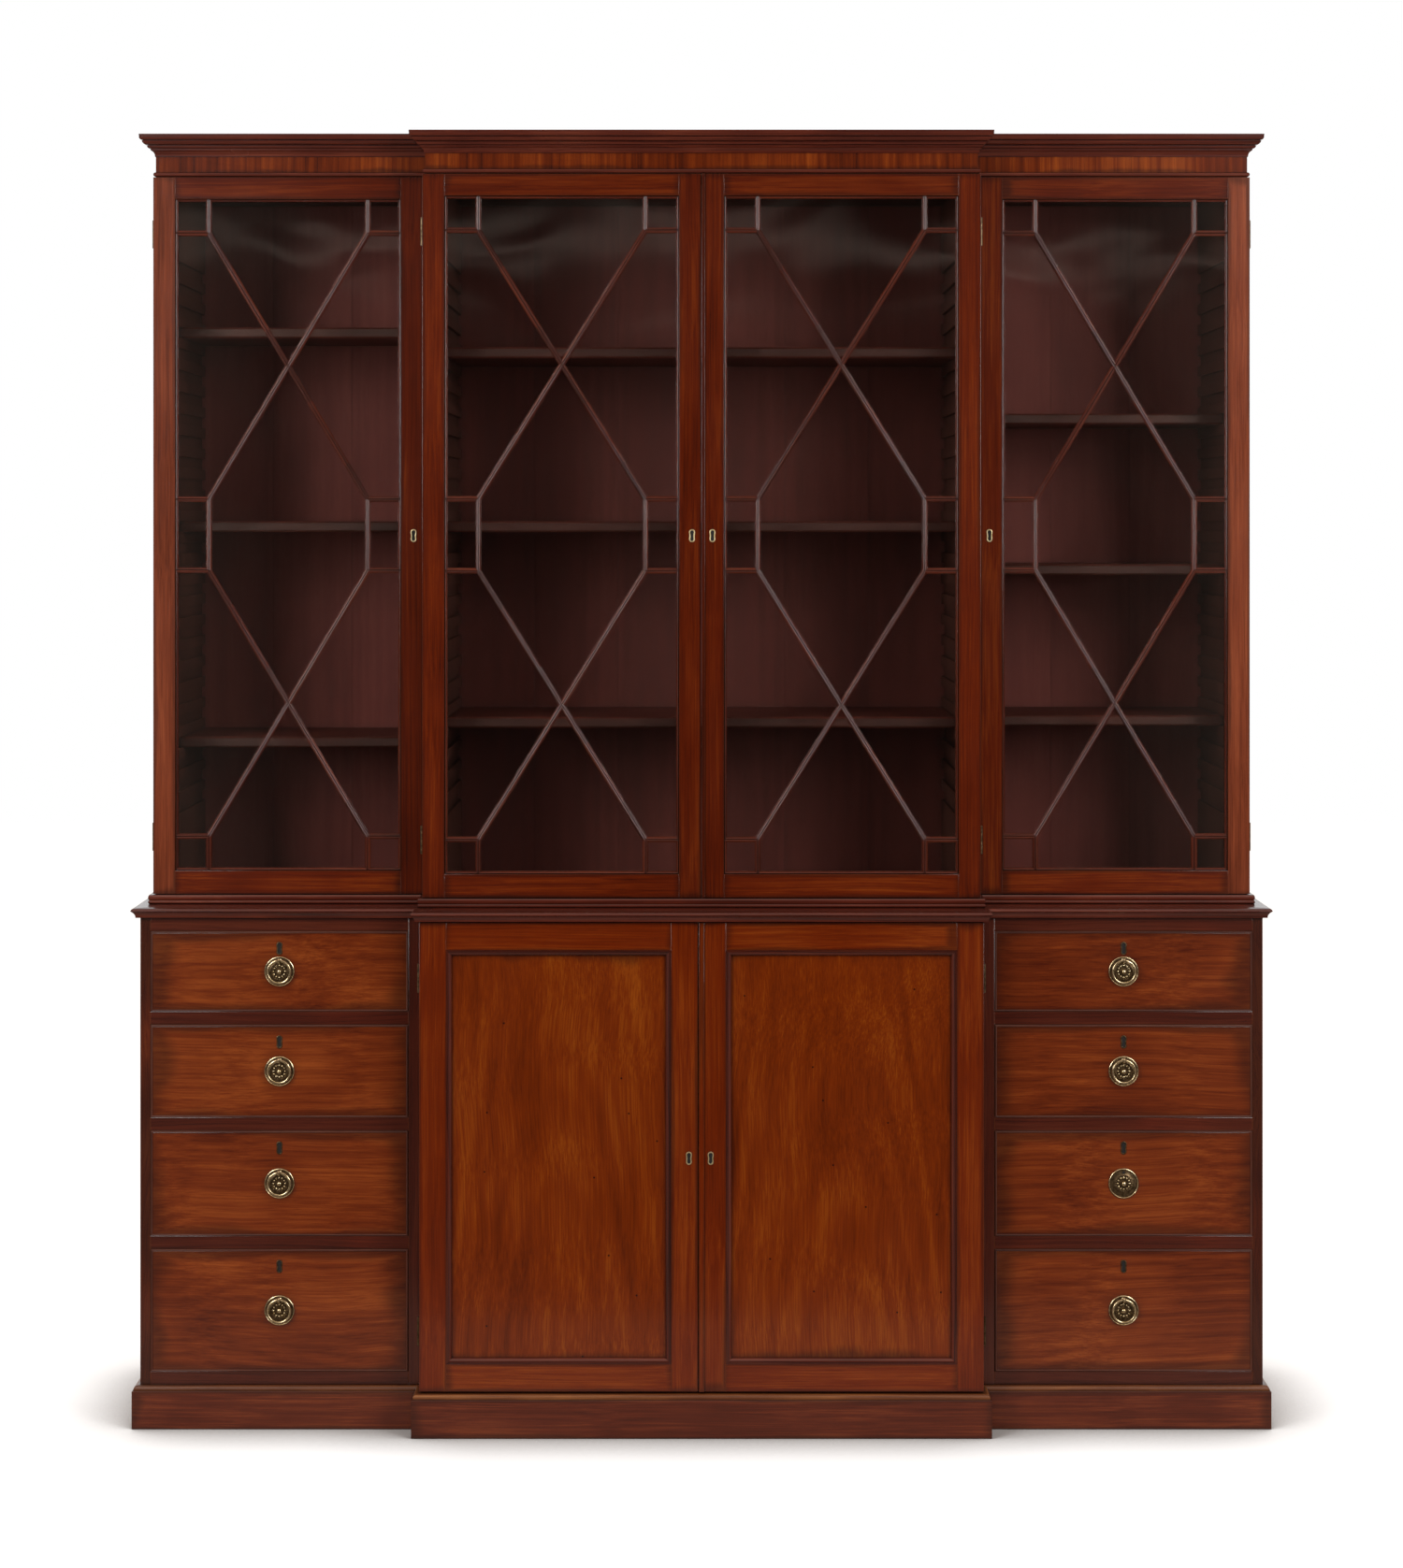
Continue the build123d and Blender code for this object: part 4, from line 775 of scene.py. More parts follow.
    def turn(self, profile: Outline, centre: Vector, axis: Vector, finish: Finish, steps: int = 40) -> int:
        """Turns an open outline about an axis, as on a lathe.

        Args:
            profile: Distance from the axis and distance along it, in millimetres.
            centre: Where the axis starts.
            axis: Its direction.
            finish: The finish.
            steps: Flats round the turning.

        Returns:
            The number of the turned part.
        """
        side = axis.orthogonal().normalized()
        verts = [self.mesh.verts.new(centre + side * x * MM + axis * y * MM) for x, y in profile]
        edges = [self.mesh.edges.new(pair) for pair in zip(verts, verts[1:])]
        known = set(self.mesh.faces)
        bmesh.ops.spin(
            self.mesh, geom=verts + edges, cent=centre, axis=axis, dvec=(0, 0, 0), angle=math.tau,
            steps=steps, use_merge=True, use_normal_flip=False, use_duplicate=False,
        )
        faces = [face for face in self.mesh.faces if face not in known]
        near = once(vert for face in faces for vert in face.verts)
        board = self.claim(faces, finish)
        bmesh.ops.remove_doubles(self.mesh, verts=near, dist=0.01 * MM)
        bmesh.ops.recalc_face_normals(self.mesh, faces=self.faces_of(board))
        return board

    def finish(self, body: str, slot: str, node: str, smooth_below: float = FLAT_WORK) -> None:
        """Makes the piece's object, hangs it on its body and puts it in place of its CAD node.

        Args:
            body: The CAD body that it rides on.
            slot: The record's material slot; not used.
            node: The CAD node that it stands for.
            smooth_below: Edges that turn by fewer degrees than this are shaded round.
        """
        limit = math.radians(smooth_below)
        for edge in self.mesh.edges:
            edge.smooth = edge.calc_face_angle(math.pi) < limit
        for face in self.mesh.faces:
            face.smooth = True
        mesh = bpy.data.meshes.new(self.name)
        self.mesh.to_mesh(mesh)
        self.mesh.free()
        stale = mesh.attributes.get("custom_normal")
        if stale is not None:
            mesh.attributes.remove(stale)
        for finish in self.finishes:
            mesh.materials.append(finish.material)
        piece = bpy.data.objects.new(self.name, mesh)
        bpy.context.scene.collection.objects.link(piece)
        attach(piece, body)
        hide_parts(node)
        LOG.info("%s: %d faces on %s", self.name, len(mesh.polygons), body)


def dress(
    name: str, node: str, body: str, slot: str, finish_of: Callable[[int], Finish | None], ease: float
) -> None:
    """Makes a piece of the boards of one CAD node.

    Args:
        name: The piece's name.
        node: The CAD node.
        body: The CAD body that it rides on.
        slot: The record's material slot.
        finish_of: The finish of each board by its place in the node, or None to leave it out.
        ease: Width of the eased edges in millimetres.
    """
    piece = Piece(name)
    piece.copy_boards(node, finish_of, ease)
    piece.finish(body, slot, node)


def frame_line(low: Vector, high: Vector) -> list[Vector]:
    """Corners of an upright rectangle, clockwise from the front, from its low right corner.

    Args:
        low: Its low left corner.
        high: Its high right corner.

    Returns:
        The four corners.
    """
    corners = ((high.x, low.z), (low.x, low.z), (low.x, high.z), (high.x, high.z))
    return [Vector((x, low.y, z)) for x, z in corners]


# Sub-assemblies


@dataclass(frozen=True)
class Case:
    """The planes and widths that the pieces share."""

    base_half: float = 0.990
    upper_half: float = 0.978
    centre_half: float = 0.493
    back: float = 0.241
    base_wing: float = -0.169
    upper_wing: float = -0.107
    step: float = 0.057
    base_head: float = 0.900
    base_height: float = 0.917
    upper_head: float = 2.214
    frieze_top: float = 2.250


CASE = Case()


@dataclass
class Plinth:
    """Plinth boards with a rounded cap."""

    height: float = 76.0
    projection: float = 13.0
    seat: float = 12.0
    cap: float = 9.0
    quirk: float = 2.4
    bulge: float = 2.4
    rubbed_foot: float = 1.0
    rubbed_head: float = 0.8
    moulded_boards: int = 7

    def board_profile(self) -> Outline:
        """Outline of the plinth board, its arrises a little rubbed.

        Returns:
            The outline.
        """
        front, head = self.projection, self.height - self.cap
        foot_rub, head_rub = self.rubbed_foot, self.rubbed_head
        points = [(-self.seat, head), (-self.seat, 0.0), (front - foot_rub, 0.0), (front, foot_rub)]
        return points + [(front, head - head_rub), (front - head_rub, head)]

    def cap_profile(self) -> Outline:
        """Outline of the rounded cap, set back a little so that a dark line shows under it.

        Returns:
            The outline.
        """
        front = (self.projection - self.quirk, self.height - self.cap)
        top = (self.projection - self.cap, self.height)
        return [(-self.seat, self.height), (-self.seat, front[1])] + arc(front, top, self.bulge) + [top]

    def build(self) -> None:
        """Makes the plinth."""
        piece, moulded = Piece("plinth_boards"), self.moulded_boards
        piece.copy_boards("plinth", lambda index: Finish.SOFTWOOD if index >= moulded else None)
        line = breakfront(CASE.base_half, CASE.base_wing, 0.0)
        piece.mould(self.board_profile(), line, UP, Finish.PLINTH)
        piece.mould(self.cap_profile(), line, UP, Finish.CAP)
        piece.finish("case", "mahogany_mouldings", "plinth")


@dataclass
class BaseTop:
    """Top boards inside a thumb-moulded edge, with the reeded waist moulding on them."""

    thickness: float = 17.0
    projection: float = 15.0
    margin: float = 20.0
    nose: float = 5.0
    fillet: float = 7.5
    fillet_height: float = 2.5
    waist_height: float = 16.0
    waist_projection: float = 8.0
    lower_reed: float = 6.5
    quirk: float = 1.8
    ease: float = 0.3
    flat_boards: range = range(7, 10)

    def edge_profile(self) -> Outline:
        """Outline of the top's edge: a hollow under a rounded nose.

        Returns:
            The outline.
        """
        nose_start = (self.projection, self.thickness - self.nose)
        nose_end = (self.projection - self.nose, self.thickness)
        points = arc(nose_start, nose_end, self.nose / 4)
        points += [nose_end, (-self.margin, self.thickness), (-self.margin, 0.0), (self.fillet, 0.0)]
        return points + arc((self.fillet, self.fillet_height), nose_start, -self.nose / 4)

    def waist_profile(self) -> Outline:
        """Outline of the waist moulding: two reeds, the upper one the taller.

        Returns:
            The outline.
        """
        face, head = self.waist_projection - self.quirk, self.waist_height
        points = [(0.0, head), (0.0, 0.0)]
        for low, high in ((0.0, self.lower_reed), (self.lower_reed, head)):
            points += arc((face, low), (face, high), self.quirk)
        return points + [(face, head)]

    def build(self) -> None:
        """Makes the top and its waist moulding."""
        piece, flat = Piece("base_top_boards"), self.flat_boards
        piece.copy_boards("base_top", lambda index: Finish.REEDS if index in flat else None, self.ease)
        edge_line = breakfront(CASE.base_half, CASE.base_wing, CASE.base_head)
        piece.mould(self.edge_profile(), edge_line, UP, Finish.REEDS)
        waist_line = breakfront(CASE.upper_half, CASE.upper_wing, CASE.base_height)
        piece.mould(self.waist_profile(), waist_line, UP, Finish.REEDS)
        piece.finish("case", "mahogany_mouldings", "base_top")


@dataclass
class Frieze:
    """Frieze boards, veneered across the grain, over a half-round astragal."""

    inset: float = 4.0
    board: float = 18.0
    astragal: float = 8.0
    height: float = 74.0
    back_board: int = 7

    def veneer_profile(self) -> Outline:
        """Outline of the frieze board, from its astragal up to behind the cornice."""
        foot, top = self.astragal, self.height
        return [(0.0, foot), (0.0, top), (-self.board, top), (-self.board, foot)]

    def astragal_profile(self) -> Outline:
        """Outline of the astragal and the edge of the board behind it."""
        foot, head = (0.0, 0.0), (0.0, self.astragal)
        points = [(-self.board, self.astragal), (-self.board, 0.0)]
        return points + arc(foot, head, self.inset, 12) + [head]

    def build(self) -> None:
        """Makes the frieze."""
        line = breakfront(CASE.upper_half, CASE.upper_wing, CASE.upper_head, self.inset * MM)
        piece, back = Piece("frieze_boards"), self.back_board
        piece.copy_boards("frieze", lambda index: Finish.SOFTWOOD if index == back else None)
        piece.mould(self.veneer_profile(), line, UP, Finish.VENEER, crossed=True)
        piece.mould(self.astragal_profile(), line, UP, Finish.REEDS)
        piece.finish("case", "mahogany_mouldings", "frieze")


@dataclass
class Cornice:
    """Cornice: a fillet and a cove under three reeds that step outwards, and a square cap.

    Each reed has its height and how far it stands out past the last.
    """

    fillet: float = 1.5
    fillet_height: float = 2.0
    cove: float = 8.5
    cove_reach: float = 6.5
    step: float = 2.0
    reeds: tuple[tuple[float, float], ...] = ((6.0, 5.4), (8.0, 9.4), (8.0, 5.4))
    quirk: float = 1.4
    cap: float = 3.5
    cap_reach: float = 2.0

    def profile(self) -> Outline:
        """Outline of the cornice, from its foot up.

        Returns:
            The outline.
        """
        reach, rise = self.fillet + self.cove_reach, self.fillet_height + self.cove
        points = [(0.0, 0.0), (self.fillet, 0.0)]
        points += arc((self.fillet, self.fillet_height), (reach, rise), -self.cove_reach / 4)
        points.append((reach, rise))
        rise += self.step
        for height, out in self.reeds:
            points += arc((reach, rise + self.quirk), (reach + out, rise + height), height / 3)
            points.append((reach + out, rise + height))
            reach += out - self.quirk
            rise += height
            points.append((reach, rise))
        points += [(reach, rise), (reach + self.cap_reach, rise), (reach + self.cap_reach, rise + self.cap)]
        return points + [(0.0, rise + self.cap)]

    def build(self) -> None:
        """Makes the cornice."""
        line = breakfront(CASE.upper_half, CASE.upper_wing, CASE.frieze_top, Frieze().inset * MM)
        piece = Piece("cornice_lengths")
        piece.mould(self.profile(), line, UP, Finish.REEDS)
        piece.finish("case", "mahogany_mouldings", "cornice")


@dataclass
class Carcass:
    """The boards of the base and the upper case, their backs and shelves."""

    ease: float = 0.6
    upper_ease: float = 0.4
    boards_per_side: int = 7
    planks_per_wing: int = 3

    def build(self) -> None:
        """Dresses the boards of the case."""
        outer, wing = (0, self.boards_per_side), [Finish.WING_BACKS] * self.planks_per_wing
        upper = [Finish.ENDS] * 2 + [Finish.CHEEKS] * 2 + [Finish.JOINERY] + [Finish.CHEEKS] * 2
        backs = wing + [Finish.BACKS] * 2 * self.planks_per_wing + wing
        kinds: dict[str, tuple[str, str, Callable[[int], Finish]]] = {
            "base_case_boards": (
                "base_carcass", "mahogany_case",
                lambda index: Finish.ENDS if index in outer else Finish.JOINERY,
            ),
            "drawer_rails_and_runners": ("drawer_dividers", "mahogany_case", lambda index: Finish.JOINERY),
            "upper_case_boards": (
                "upper_carcass", "mahogany_case", lambda index: upper[index % len(upper)]
            ),
            "left_bay_shelves": ("shelves_left", "mahogany_case", lambda index: Finish.SHELVES),
            "centre_bay_shelves": ("shelves_centre", "mahogany_case", lambda index: Finish.SHELVES),
            "right_bay_shelves": ("shelves_right", "mahogany_case", lambda index: Finish.SHELVES),
            "upper_back_planks": (
                "upper_backboards", "mahogany_backs", lambda index: backs[index % len(backs)]
            ),
            "base_back_planks": ("base_backboards", "pine_backs", lambda index: Finish.SOFTWOOD),
        }
        for name, (node, slot, finish_of) in kinds.items():
            ease = self.upper_ease if node == "upper_carcass" else self.ease
            dress(name, node, "case", slot, finish_of, ease)


@dataclass
class KeyholePlate:
    """A thin brass thread let in round a keyhole, and a near-black sheet of painted shade where the dark of
    the lock would show behind it.

    Sizes are in millimetres: the radii of the head and the foot, the half width of the waist
    between them, and the whole height.
    """

    rim: tuple[float, float, float, float] = (5.3, 5.0, 4.5, 23.0)
    hole: tuple[float, float, float, float] = (3.4, 3.0, 2.5, 18.6)
    proud: float = 0.8
    hole_proud: float = 0.1
    ease: float = 0.5

    def outline(self, head: float, foot: float, waist: float, height: float, steps: int = 12) -> Outline:
        """Outline of a keyhole about its middle: two rounds joined by a narrower waist.

        Args:
            head: Radius of its head.
            foot: Radius of its foot.
            waist: Half the width between them.
            height: Its whole height.
            steps: Straight steps round the head, and round the foot.

        Returns:
            The points, clockwise from the right of the waist.
        """
        points = [(waist, 0.0)]
        for radius, end in ((foot, -1), (head, 1)):
            middle = end * (height / 2 - radius)
            for step in range(steps + 1):
                angle = math.pi * (step / steps - 0.5)
                points.append((end * radius * math.sin(angle), middle + end * radius * math.cos(angle)))
            if end < 0:
                points.append((-waist, 0.0))
        return points

    def build(self, piece: Piece, centre: Vector, metal: Finish) -> None:
        """Adds the plate to a piece.

        Args:
            piece: The piece that carries it.
            centre: The middle of the plate on the wood's face.
            metal: Finish of the thread.
        """
        mesh = piece.mesh
        rims = []
        for shape in (self.rim, self.hole):
            points = [centre + Vector((x, -self.proud, z)) * MM for x, z in self.outline(*shape)]
            verts = [mesh.verts.new(point) for point in points]
            rims.append([mesh.edges.new(pair) for pair in zip(verts, verts[1:] + verts[:1])])
        front = bmesh.ops.bridge_loops(mesh, edges=rims[0] + rims[1])["faces"]
        made = bmesh.ops.extrude_face_region(mesh, geom=front)["geom"]
        backs = [part for part in made if isinstance(part, bmesh.types.BMVert)]
        bmesh.ops.translate(mesh, verts=backs, vec=-FORWARD * self.proud * MM)
        faces = once([face for vert in backs for face in vert.link_faces] + front)
        bmesh.ops.recalc_face_normals(mesh, faces=faces)
        piece.ease_edges(piece.claim(faces, metal), self.ease)
        # The keyhole is not cut: a near-black sheet just proud of the wood paints the shade inside it
        inside = [centre + Vector((x, -self.hole_proud, z)) * MM for x, z in self.outline(*self.hole)]
        hole = mesh.faces.new([mesh.verts.new(point) for point in inside])
        hole.normal_update()
        if hole.normal.dot(FORWARD) < 0:
            hole.normal_flip()
        piece.claim([hole], Finish.SOOT)


@dataclass
class ButtHinge:
    """Round knuckles over the flats of a CAD hinge leaf."""

    radius: float = 2.5
    height: float = 50.0
    gap: float = 0.3
    ease: float = 0.3
    flats: int = 24

    def knuckles(self, piece: Piece, pin: Vector, fixed: bool) -> None:
        """Adds the round knuckles of one leaf.

        Args:
            piece: The piece that carries the leaf.
            pin: Foot of the pin.
            fixed: Whether it is the case's leaf, with the outer knuckles and the pin.
        """
        third, out, waist = self.height / 3, self.radius, self.radius - self.ease
        outer = [(0.0, third), (self.height - third, self.height)]
        inner = [(third + self.gap, 2 * third - self.gap)]
        for low, high in outer if fixed else inner:
            profile = [(0.0, low), (waist, low), (out, low + self.ease), (out, high - self.ease)]
            piece.turn(profile + [(waist, high), (0.0, high)], pin, UP, Finish.BRONZE, self.flats)


@dataclass
class Door:
    """What a hinged door needs to be dressed: its name, its edges and its planes."""

    name: str
    hinged: int
    hinge_edge: float
    free_edge: float
    face: float
    thick: float
    foot: float
    head: float
    bead: float = 0.0
    keyhole_drop: float = 0.0
    pin_out: float = 0.0028
    leaf_gap: float = 0.0003
    hinge_inset: float = 0.075
    hinge_height: float = 0.050
    keyhole_inset: float = 0.016
    leaf_boards: int = 3
    ease: float = 0.3
    brass_ease: float = 0.2

    def hinge_feet(self) -> tuple[float, float]:
        """Heights of the feet of the two hinges."""
        return self.foot + self.hinge_inset, self.head - self.hinge_inset - self.hinge_height

    def pins(self) -> list[Vector]:
        """Feet of the two hinge pins."""
        x = self.hinged * (self.hinge_edge + self.pin_out)
        return [Vector((x, self.face + self.thick + self.leaf_gap, foot)) for foot in self.hinge_feet()]

    def opening(
        self, stile: float, foot_rail: float, head_rail: float, setback: float = 0.0
    ) -> tuple[Vector, Vector]:
        """The opening inside the door's frame.

        Args:
            stile: Width of its stiles.
            foot_rail: Height of its foot rail.
            head_rail: Height of its head rail.
            setback: How far behind the door's face its plane lies.

        Returns:
            The opening's low left corner and its high right corner.
        """
        x_low, x_high = sorted((self.hinged * self.hinge_edge, self.free_edge))
        y, foot, head = self.face + setback, self.foot + foot_rail, self.head - head_rail
        return Vector((x_low + stile, y, foot)), Vector((x_high - stile, y, head))

    def stiles_and_rails(self, finish_of: Callable[[int], Finish | None]) -> None:
        """Makes the door's stiles and rails.

        Args:
            finish_of: The finish of each of its boards.
        """
        node = f"{self.name}_frame"
        dress(f"{self.name}_stiles_and_rails", node, self.name, "mahogany_doors", finish_of, self.ease)

    def fittings(self) -> None:
        """Makes the door's hinge leaves, lock and keyhole plate."""
        piece, node, leaves = Piece(f"{self.name}_brasses"), f"{self.name}_fittings", self.leaf_boards
        piece.copy_boards(node, lambda index: Finish.BRONZE if index < leaves else None, self.brass_ease)
        for pin in self.pins():
            ButtHinge().knuckles(piece, pin, False)
        x = self.free_edge + self.hinged * (self.bead / 2 + self.keyhole_inset)
        z = (self.foot + self.head) / 2 - self.keyhole_drop
        KeyholePlate().build(piece, Vector((x, self.face, z)), Finish.RIMS)
        piece.finish(self.name, "brass", node, ROUND_WORK)


@dataclass
class GlazingPattern:
    """The lattice of one glazed door: corner squares, middle boxes and crossing diagonals.

    Sizes are in millimetres. Each pane carries half of every bar round it, mitred at its corners.
    """

    corner_width: float = 59.5
    corner_height: float = 61.0
    middle_height: float = 127.0
    bar: float = 10.0
    depth: float = 6.0
    setback: float = 2.5
    rib: float = 3.0
    rib_depth: float = 9.0
    bead: float = 6.4
    rise: float = 1.9
    quirk: float = 0.8
    eased: tuple[float, float] = (0.6, 0.8)
    bead_steps: int = 8

    def panes(self, half_width: float, half_height: float) -> list[Outline]:
        """Corners of the thirteen panes on the middle lines of their bars, in millimetres.

        Args:
            half_width: Half the width of the glazed opening.
            half_height: Half its height.

        Returns:
            One outline for each pane, all of them anticlockwise from the front.
        """
        inner = half_width - self.corner_width
        high = half_height - self.corner_height
        box = self.middle_height / 2
        cross = (high + box) / 2
        square = [(inner, high), (half_width, high), (half_width, half_height), (inner, half_height)]
        arrow = [(0.0, cross), (inner, box), (half_width, box), (half_width, high), (inner, high)]
        middle = [(inner, -box), (half_width, -box), (half_width, box), (inner, box)]
        crown = [(-inner, high), (0.0, cross), (inner, high), (inner, half_height), (-inner, half_height)]
        shapes = [[(0.0, -cross), (inner, -box), (inner, box), (0.0, cross), (-inner, box), (-inner, -box)]]
        shapes += [middle, [(-x, z) for x, z in reversed(middle)]]
        for shape in (square, arrow):
            for x_side in (1, -1):
                for z_side in (1, -1):
                    turned = [(x_side * x, z_side * z) for x, z in shape]
                    shapes.append(turned if x_side == z_side else turned[::-1])
        shapes += [crown, [(x, -z) for x, z in reversed(crown)]]
        return shapes

    def half_profile(self) -> Outline:
        """Half of a bar's outline: one of its two beads, a fillet, and the rib that parts the glass.

        Returns:
            The outline.
        """
        side, rib, bead, shoulder = self.bar / 2, self.rib / 2, self.bead / 2, self.depth - self.rise
        points = [(0.0, -self.rib_depth), (rib, -self.rib_depth), (rib, 0.0), (side, 0.0)]
        points += [(side, shoulder - self.eased[1]), (side - self.eased[0], shoulder), (bead, shoulder)]
        for step in range(self.bead_steps):
            angle = math.pi * step / self.bead_steps
            points.append((bead * (1 + math.cos(angle)) / 2, shoulder + self.rise * math.sin(angle)))
        return points + [(0.0, shoulder - self.quirk)]

    def build(self, door: Door, low: Vector, high: Vector) -> None:
        """Makes the door's glazing bars.

        Args:
            door: The door that carries them.
            low: Low left corner of the glazed opening.
            high: High right corner of it.
        """
        middle, half = (low + high) / 2, (high - low) / 2 / MM
        origin = Vector((middle.x, door.face + (self.setback + self.depth) * MM, middle.z))
        piece = Piece(f"{door.name}_lattice")
        for shape in self.panes(half.x, half.z):
            # Clockwise from the front, so that a moulding's face turns into the pane
            line = [origin + Vector((x * MM, 0, z * MM)) for x, z in reversed(shape)]
            piece.mould(self.half_profile(), line, FORWARD, Finish.BARS, closed=True)
        piece.finish(door.name, "mahogany_doors", f"{door.name}_glazing_bars", ROUND_WORK)


@dataclass
class GlazedDoor(Door):
    """A glazed door: stiles, rails, lattice and thirteen panes of old glass."""

    stile: float = 0.039
    top_rail: float = 0.0385
    foot_rail: float = 0.0415

    def build(self) -> None:
        """Makes the door."""
        in_wing = abs(self.hinge_edge) > CASE.centre_half
        outer, inner = (Finish.FADED, Finish.DOORS) if in_wing else (Finish.DOORS, Finish.RAILS)
        uprights = (outer, inner) if self.hinged < 0 else (inner, outer)
        boards = uprights + (Finish.DOORS, Finish.RAILS, Finish.RAILS)
        self.stiles_and_rails(lambda index: boards[index])
        GlazingPattern().build(self, *self.opening(self.stile, self.foot_rail, self.top_rail))
        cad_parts[f"{self.name}_glass"].data.materials[0] = Finish.GLASS.material
        self.fittings()


@dataclass
class CupboardDoor(Door):
    """A cupboard door: a frame round one figured panel, with a moulding planted round it."""

    stile: float = 0.047
    rail: float = 0.048
    panel_set: float = 0.007
    moulding: float = 10.0
    moulding_proud: float = 7.8
    moulding_ease: tuple[float, float] = (0.5, 0.6)
    panel_ease: float = 0.2

    def moulding_profile(self) -> Outline:
        """Outline of the panel moulding: a bolection nose that falls to the panel in a hollow.

        Returns:
            The outline.
        """
        width, proud = self.moulding, self.moulding_proud
        points = [(0.0, 0.0), (0.0, proud - self.moulding_ease[1]), (self.moulding_ease[0], proud)]
        points += arc((width / 3, proud), (width, 0.0), -proud / 4) + [(width, 0.0)]
        return points[::-1]

    def build(self) -> None:
        """Makes the door."""
        self.stiles_and_rails(lambda index: Finish.CUPBOARD)
        panel, figured = f"{self.name}_panel", f"{self.name}_figured_panel"
        dress(
            figured, panel, self.name, "mahogany_figured", lambda index: Finish.PANELS, self.panel_ease
        )
        nosing = Piece(f"{self.name}_panel_nosing")
        line = frame_line(*self.opening(self.stile, self.rail, self.rail, self.panel_set))
        nosing.mould(self.moulding_profile(), line, FORWARD, Finish.REEDS, closed=True)
        nosing.finish(self.name, "mahogany_mouldings", f"{self.name}_moulding")
        self.fittings()


@dataclass
class RingPull:
    """A round brass pull: a turned plate with a beaded rosette, its boss, its eye and its ring.

    Sizes are in millimetres.
    """

    plate_radius: float = 26.5
    ring_radius: float = 19.8
    wire: float = 2.2
    standoff: float = 8.6
    eye_radius: float = 5.0
    eye_bore: float = 2.7
    eye_thick: float = 5.0
    eye_round: float = 1.1
    bore_round: float = 0.4
    beads: int = 12
    bead_circle: float = 10.4
    bead: float = 2.0
    bead_lift: float = 2.0
    petals: int = 24
    petal_circle: float = 14.3
    petal: float = 1.2
    petal_lift: float = 1.2
    petal_length: float = 1.5
    flatness: float = 0.8
    hole: float = 3.2
    hole_dark: float = 1.65
    plate_flats: int = 56
    eye_flats: int = 28
    neck_flats: int = 20
    wire_flats: int = 12

    def sections(self) -> tuple[Outline, Outline, Outline]:
        """Half sections of the pull: the distance from its axis, and out from the drawer front.

        Returns:
            The dark field, the boss and the bright rim.
        """
        field = [(0.0, 1.0), (8.0, 0.9), (8.5, 1.5), (15.8, 1.5), (16.6, 0.9), (24.6, 0.9)]
        boss = [(0.0, 8.0), (1.2, 7.9), (2.4, 7.4), (3.5, 6.5), (4.2, 5.3), (4.1, 4.2), (3.4, 3.2)]
        rim = [(24.2, 0.9), (24.5, 1.8), (25.2, 2.3), (26.0, 2.0), (self.plate_radius, 1.2)]
        rim += [(self.plate_radius, 0.0), (24.2, 0.0), rim[0]]
        return field + [(24.6, 0.0), (0.0, 0.0)], boss + [(3.6, 1.0), (0.0, 1.0)], rim

    def build_plate(self, piece: Piece, centre: Vector, with_eye: bool) -> None:
        """Adds the plate with its boss and its eye, or the hole that the eye left.

        Args:
            piece: The piece that carries the plate.
            centre: The plate's middle on the drawer front.
            with_eye: Whether the pull still has its ring.
        """
        for section, metal in zip(self.sections(), (Finish.BRONZE, Finish.BRASS, Finish.BRASS)):
            piece.turn(section, centre, FORWARD, metal, self.plate_flats)
        for count, circle, size, lift, length, metal in (
            (self.beads, self.bead_circle, self.bead, self.bead_lift, 1.0, Finish.BRASS),
            (
                self.petals, self.petal_circle, self.petal, self.petal_lift, self.petal_length,
                Finish.BRONZE,
            ),
        ):
            for index in range(count):
                angle = math.tau * index / count
                made = bmesh.ops.create_uvsphere(piece.mesh, u_segments=8, v_segments=6, radius=size * MM)
                bmesh.ops.scale(piece.mesh, verts=made["verts"], vec=(1.0, self.flatness, length))
                bmesh.ops.translate(piece.mesh, verts=made["verts"], vec=(0, -lift * MM, circle * MM))
                turned = Matrix.Rotation(angle, 3, "Y")
                bmesh.ops.rotate(piece.mesh, verts=made["verts"], cent=(0, 0, 0), matrix=turned)
                bmesh.ops.translate(piece.mesh, verts=made["verts"], vec=centre)
                piece.claim(once(face for vert in made["verts"] for face in vert.link_faces), metal)
        top = centre + UP * self.ring_radius * MM
        if with_eye:
            reach = self.standoff
            neck = [(3.4, 1.0), (3.2, 2.0), (2.3, 2.6), (2.1, 4.0), (2.3, reach - self.eye_radius + 1.2)]
            neck = [(0.0, 1.0), *neck, (0.0, neck[-1][1])]
            piece.turn(neck, top, FORWARD, Finish.BRASS, self.neck_flats)
            # One half of the eye's rim, from its bore outwards, and the other half back again
            half, far, ease = self.eye_thick / 2, self.eye_radius, self.eye_round
            rim = [(self.eye_bore, half - ease), (self.eye_bore + self.bore_round, half)]
            rim += [(far - ease, half), (far, half - ease)]
            rim = [(x, -y) for x, y in rim] + rim[::-1]
            eye = top + FORWARD * reach * MM
            piece.turn(rim + rim[:1], eye, Vector((1, 0, 0)), Finish.BRASS, self.eye_flats)
        else:
            lip = [(self.hole - 0.9, 1.5), (self.hole - 0.6, 2.0), (self.hole, 2.0)]
            lip.append((self.hole + 0.2, 1.0))
            piece.turn(lip, top, FORWARD, Finish.BRASS, self.neck_flats)
            # The empty eye hole is not bored: a near-black disc paints the shade inside it
            dark = [(0.0, self.hole_dark), (self.hole - 0.6, self.hole_dark)]
            piece.turn(dark, top, FORWARD, Finish.SOOT, self.neck_flats)

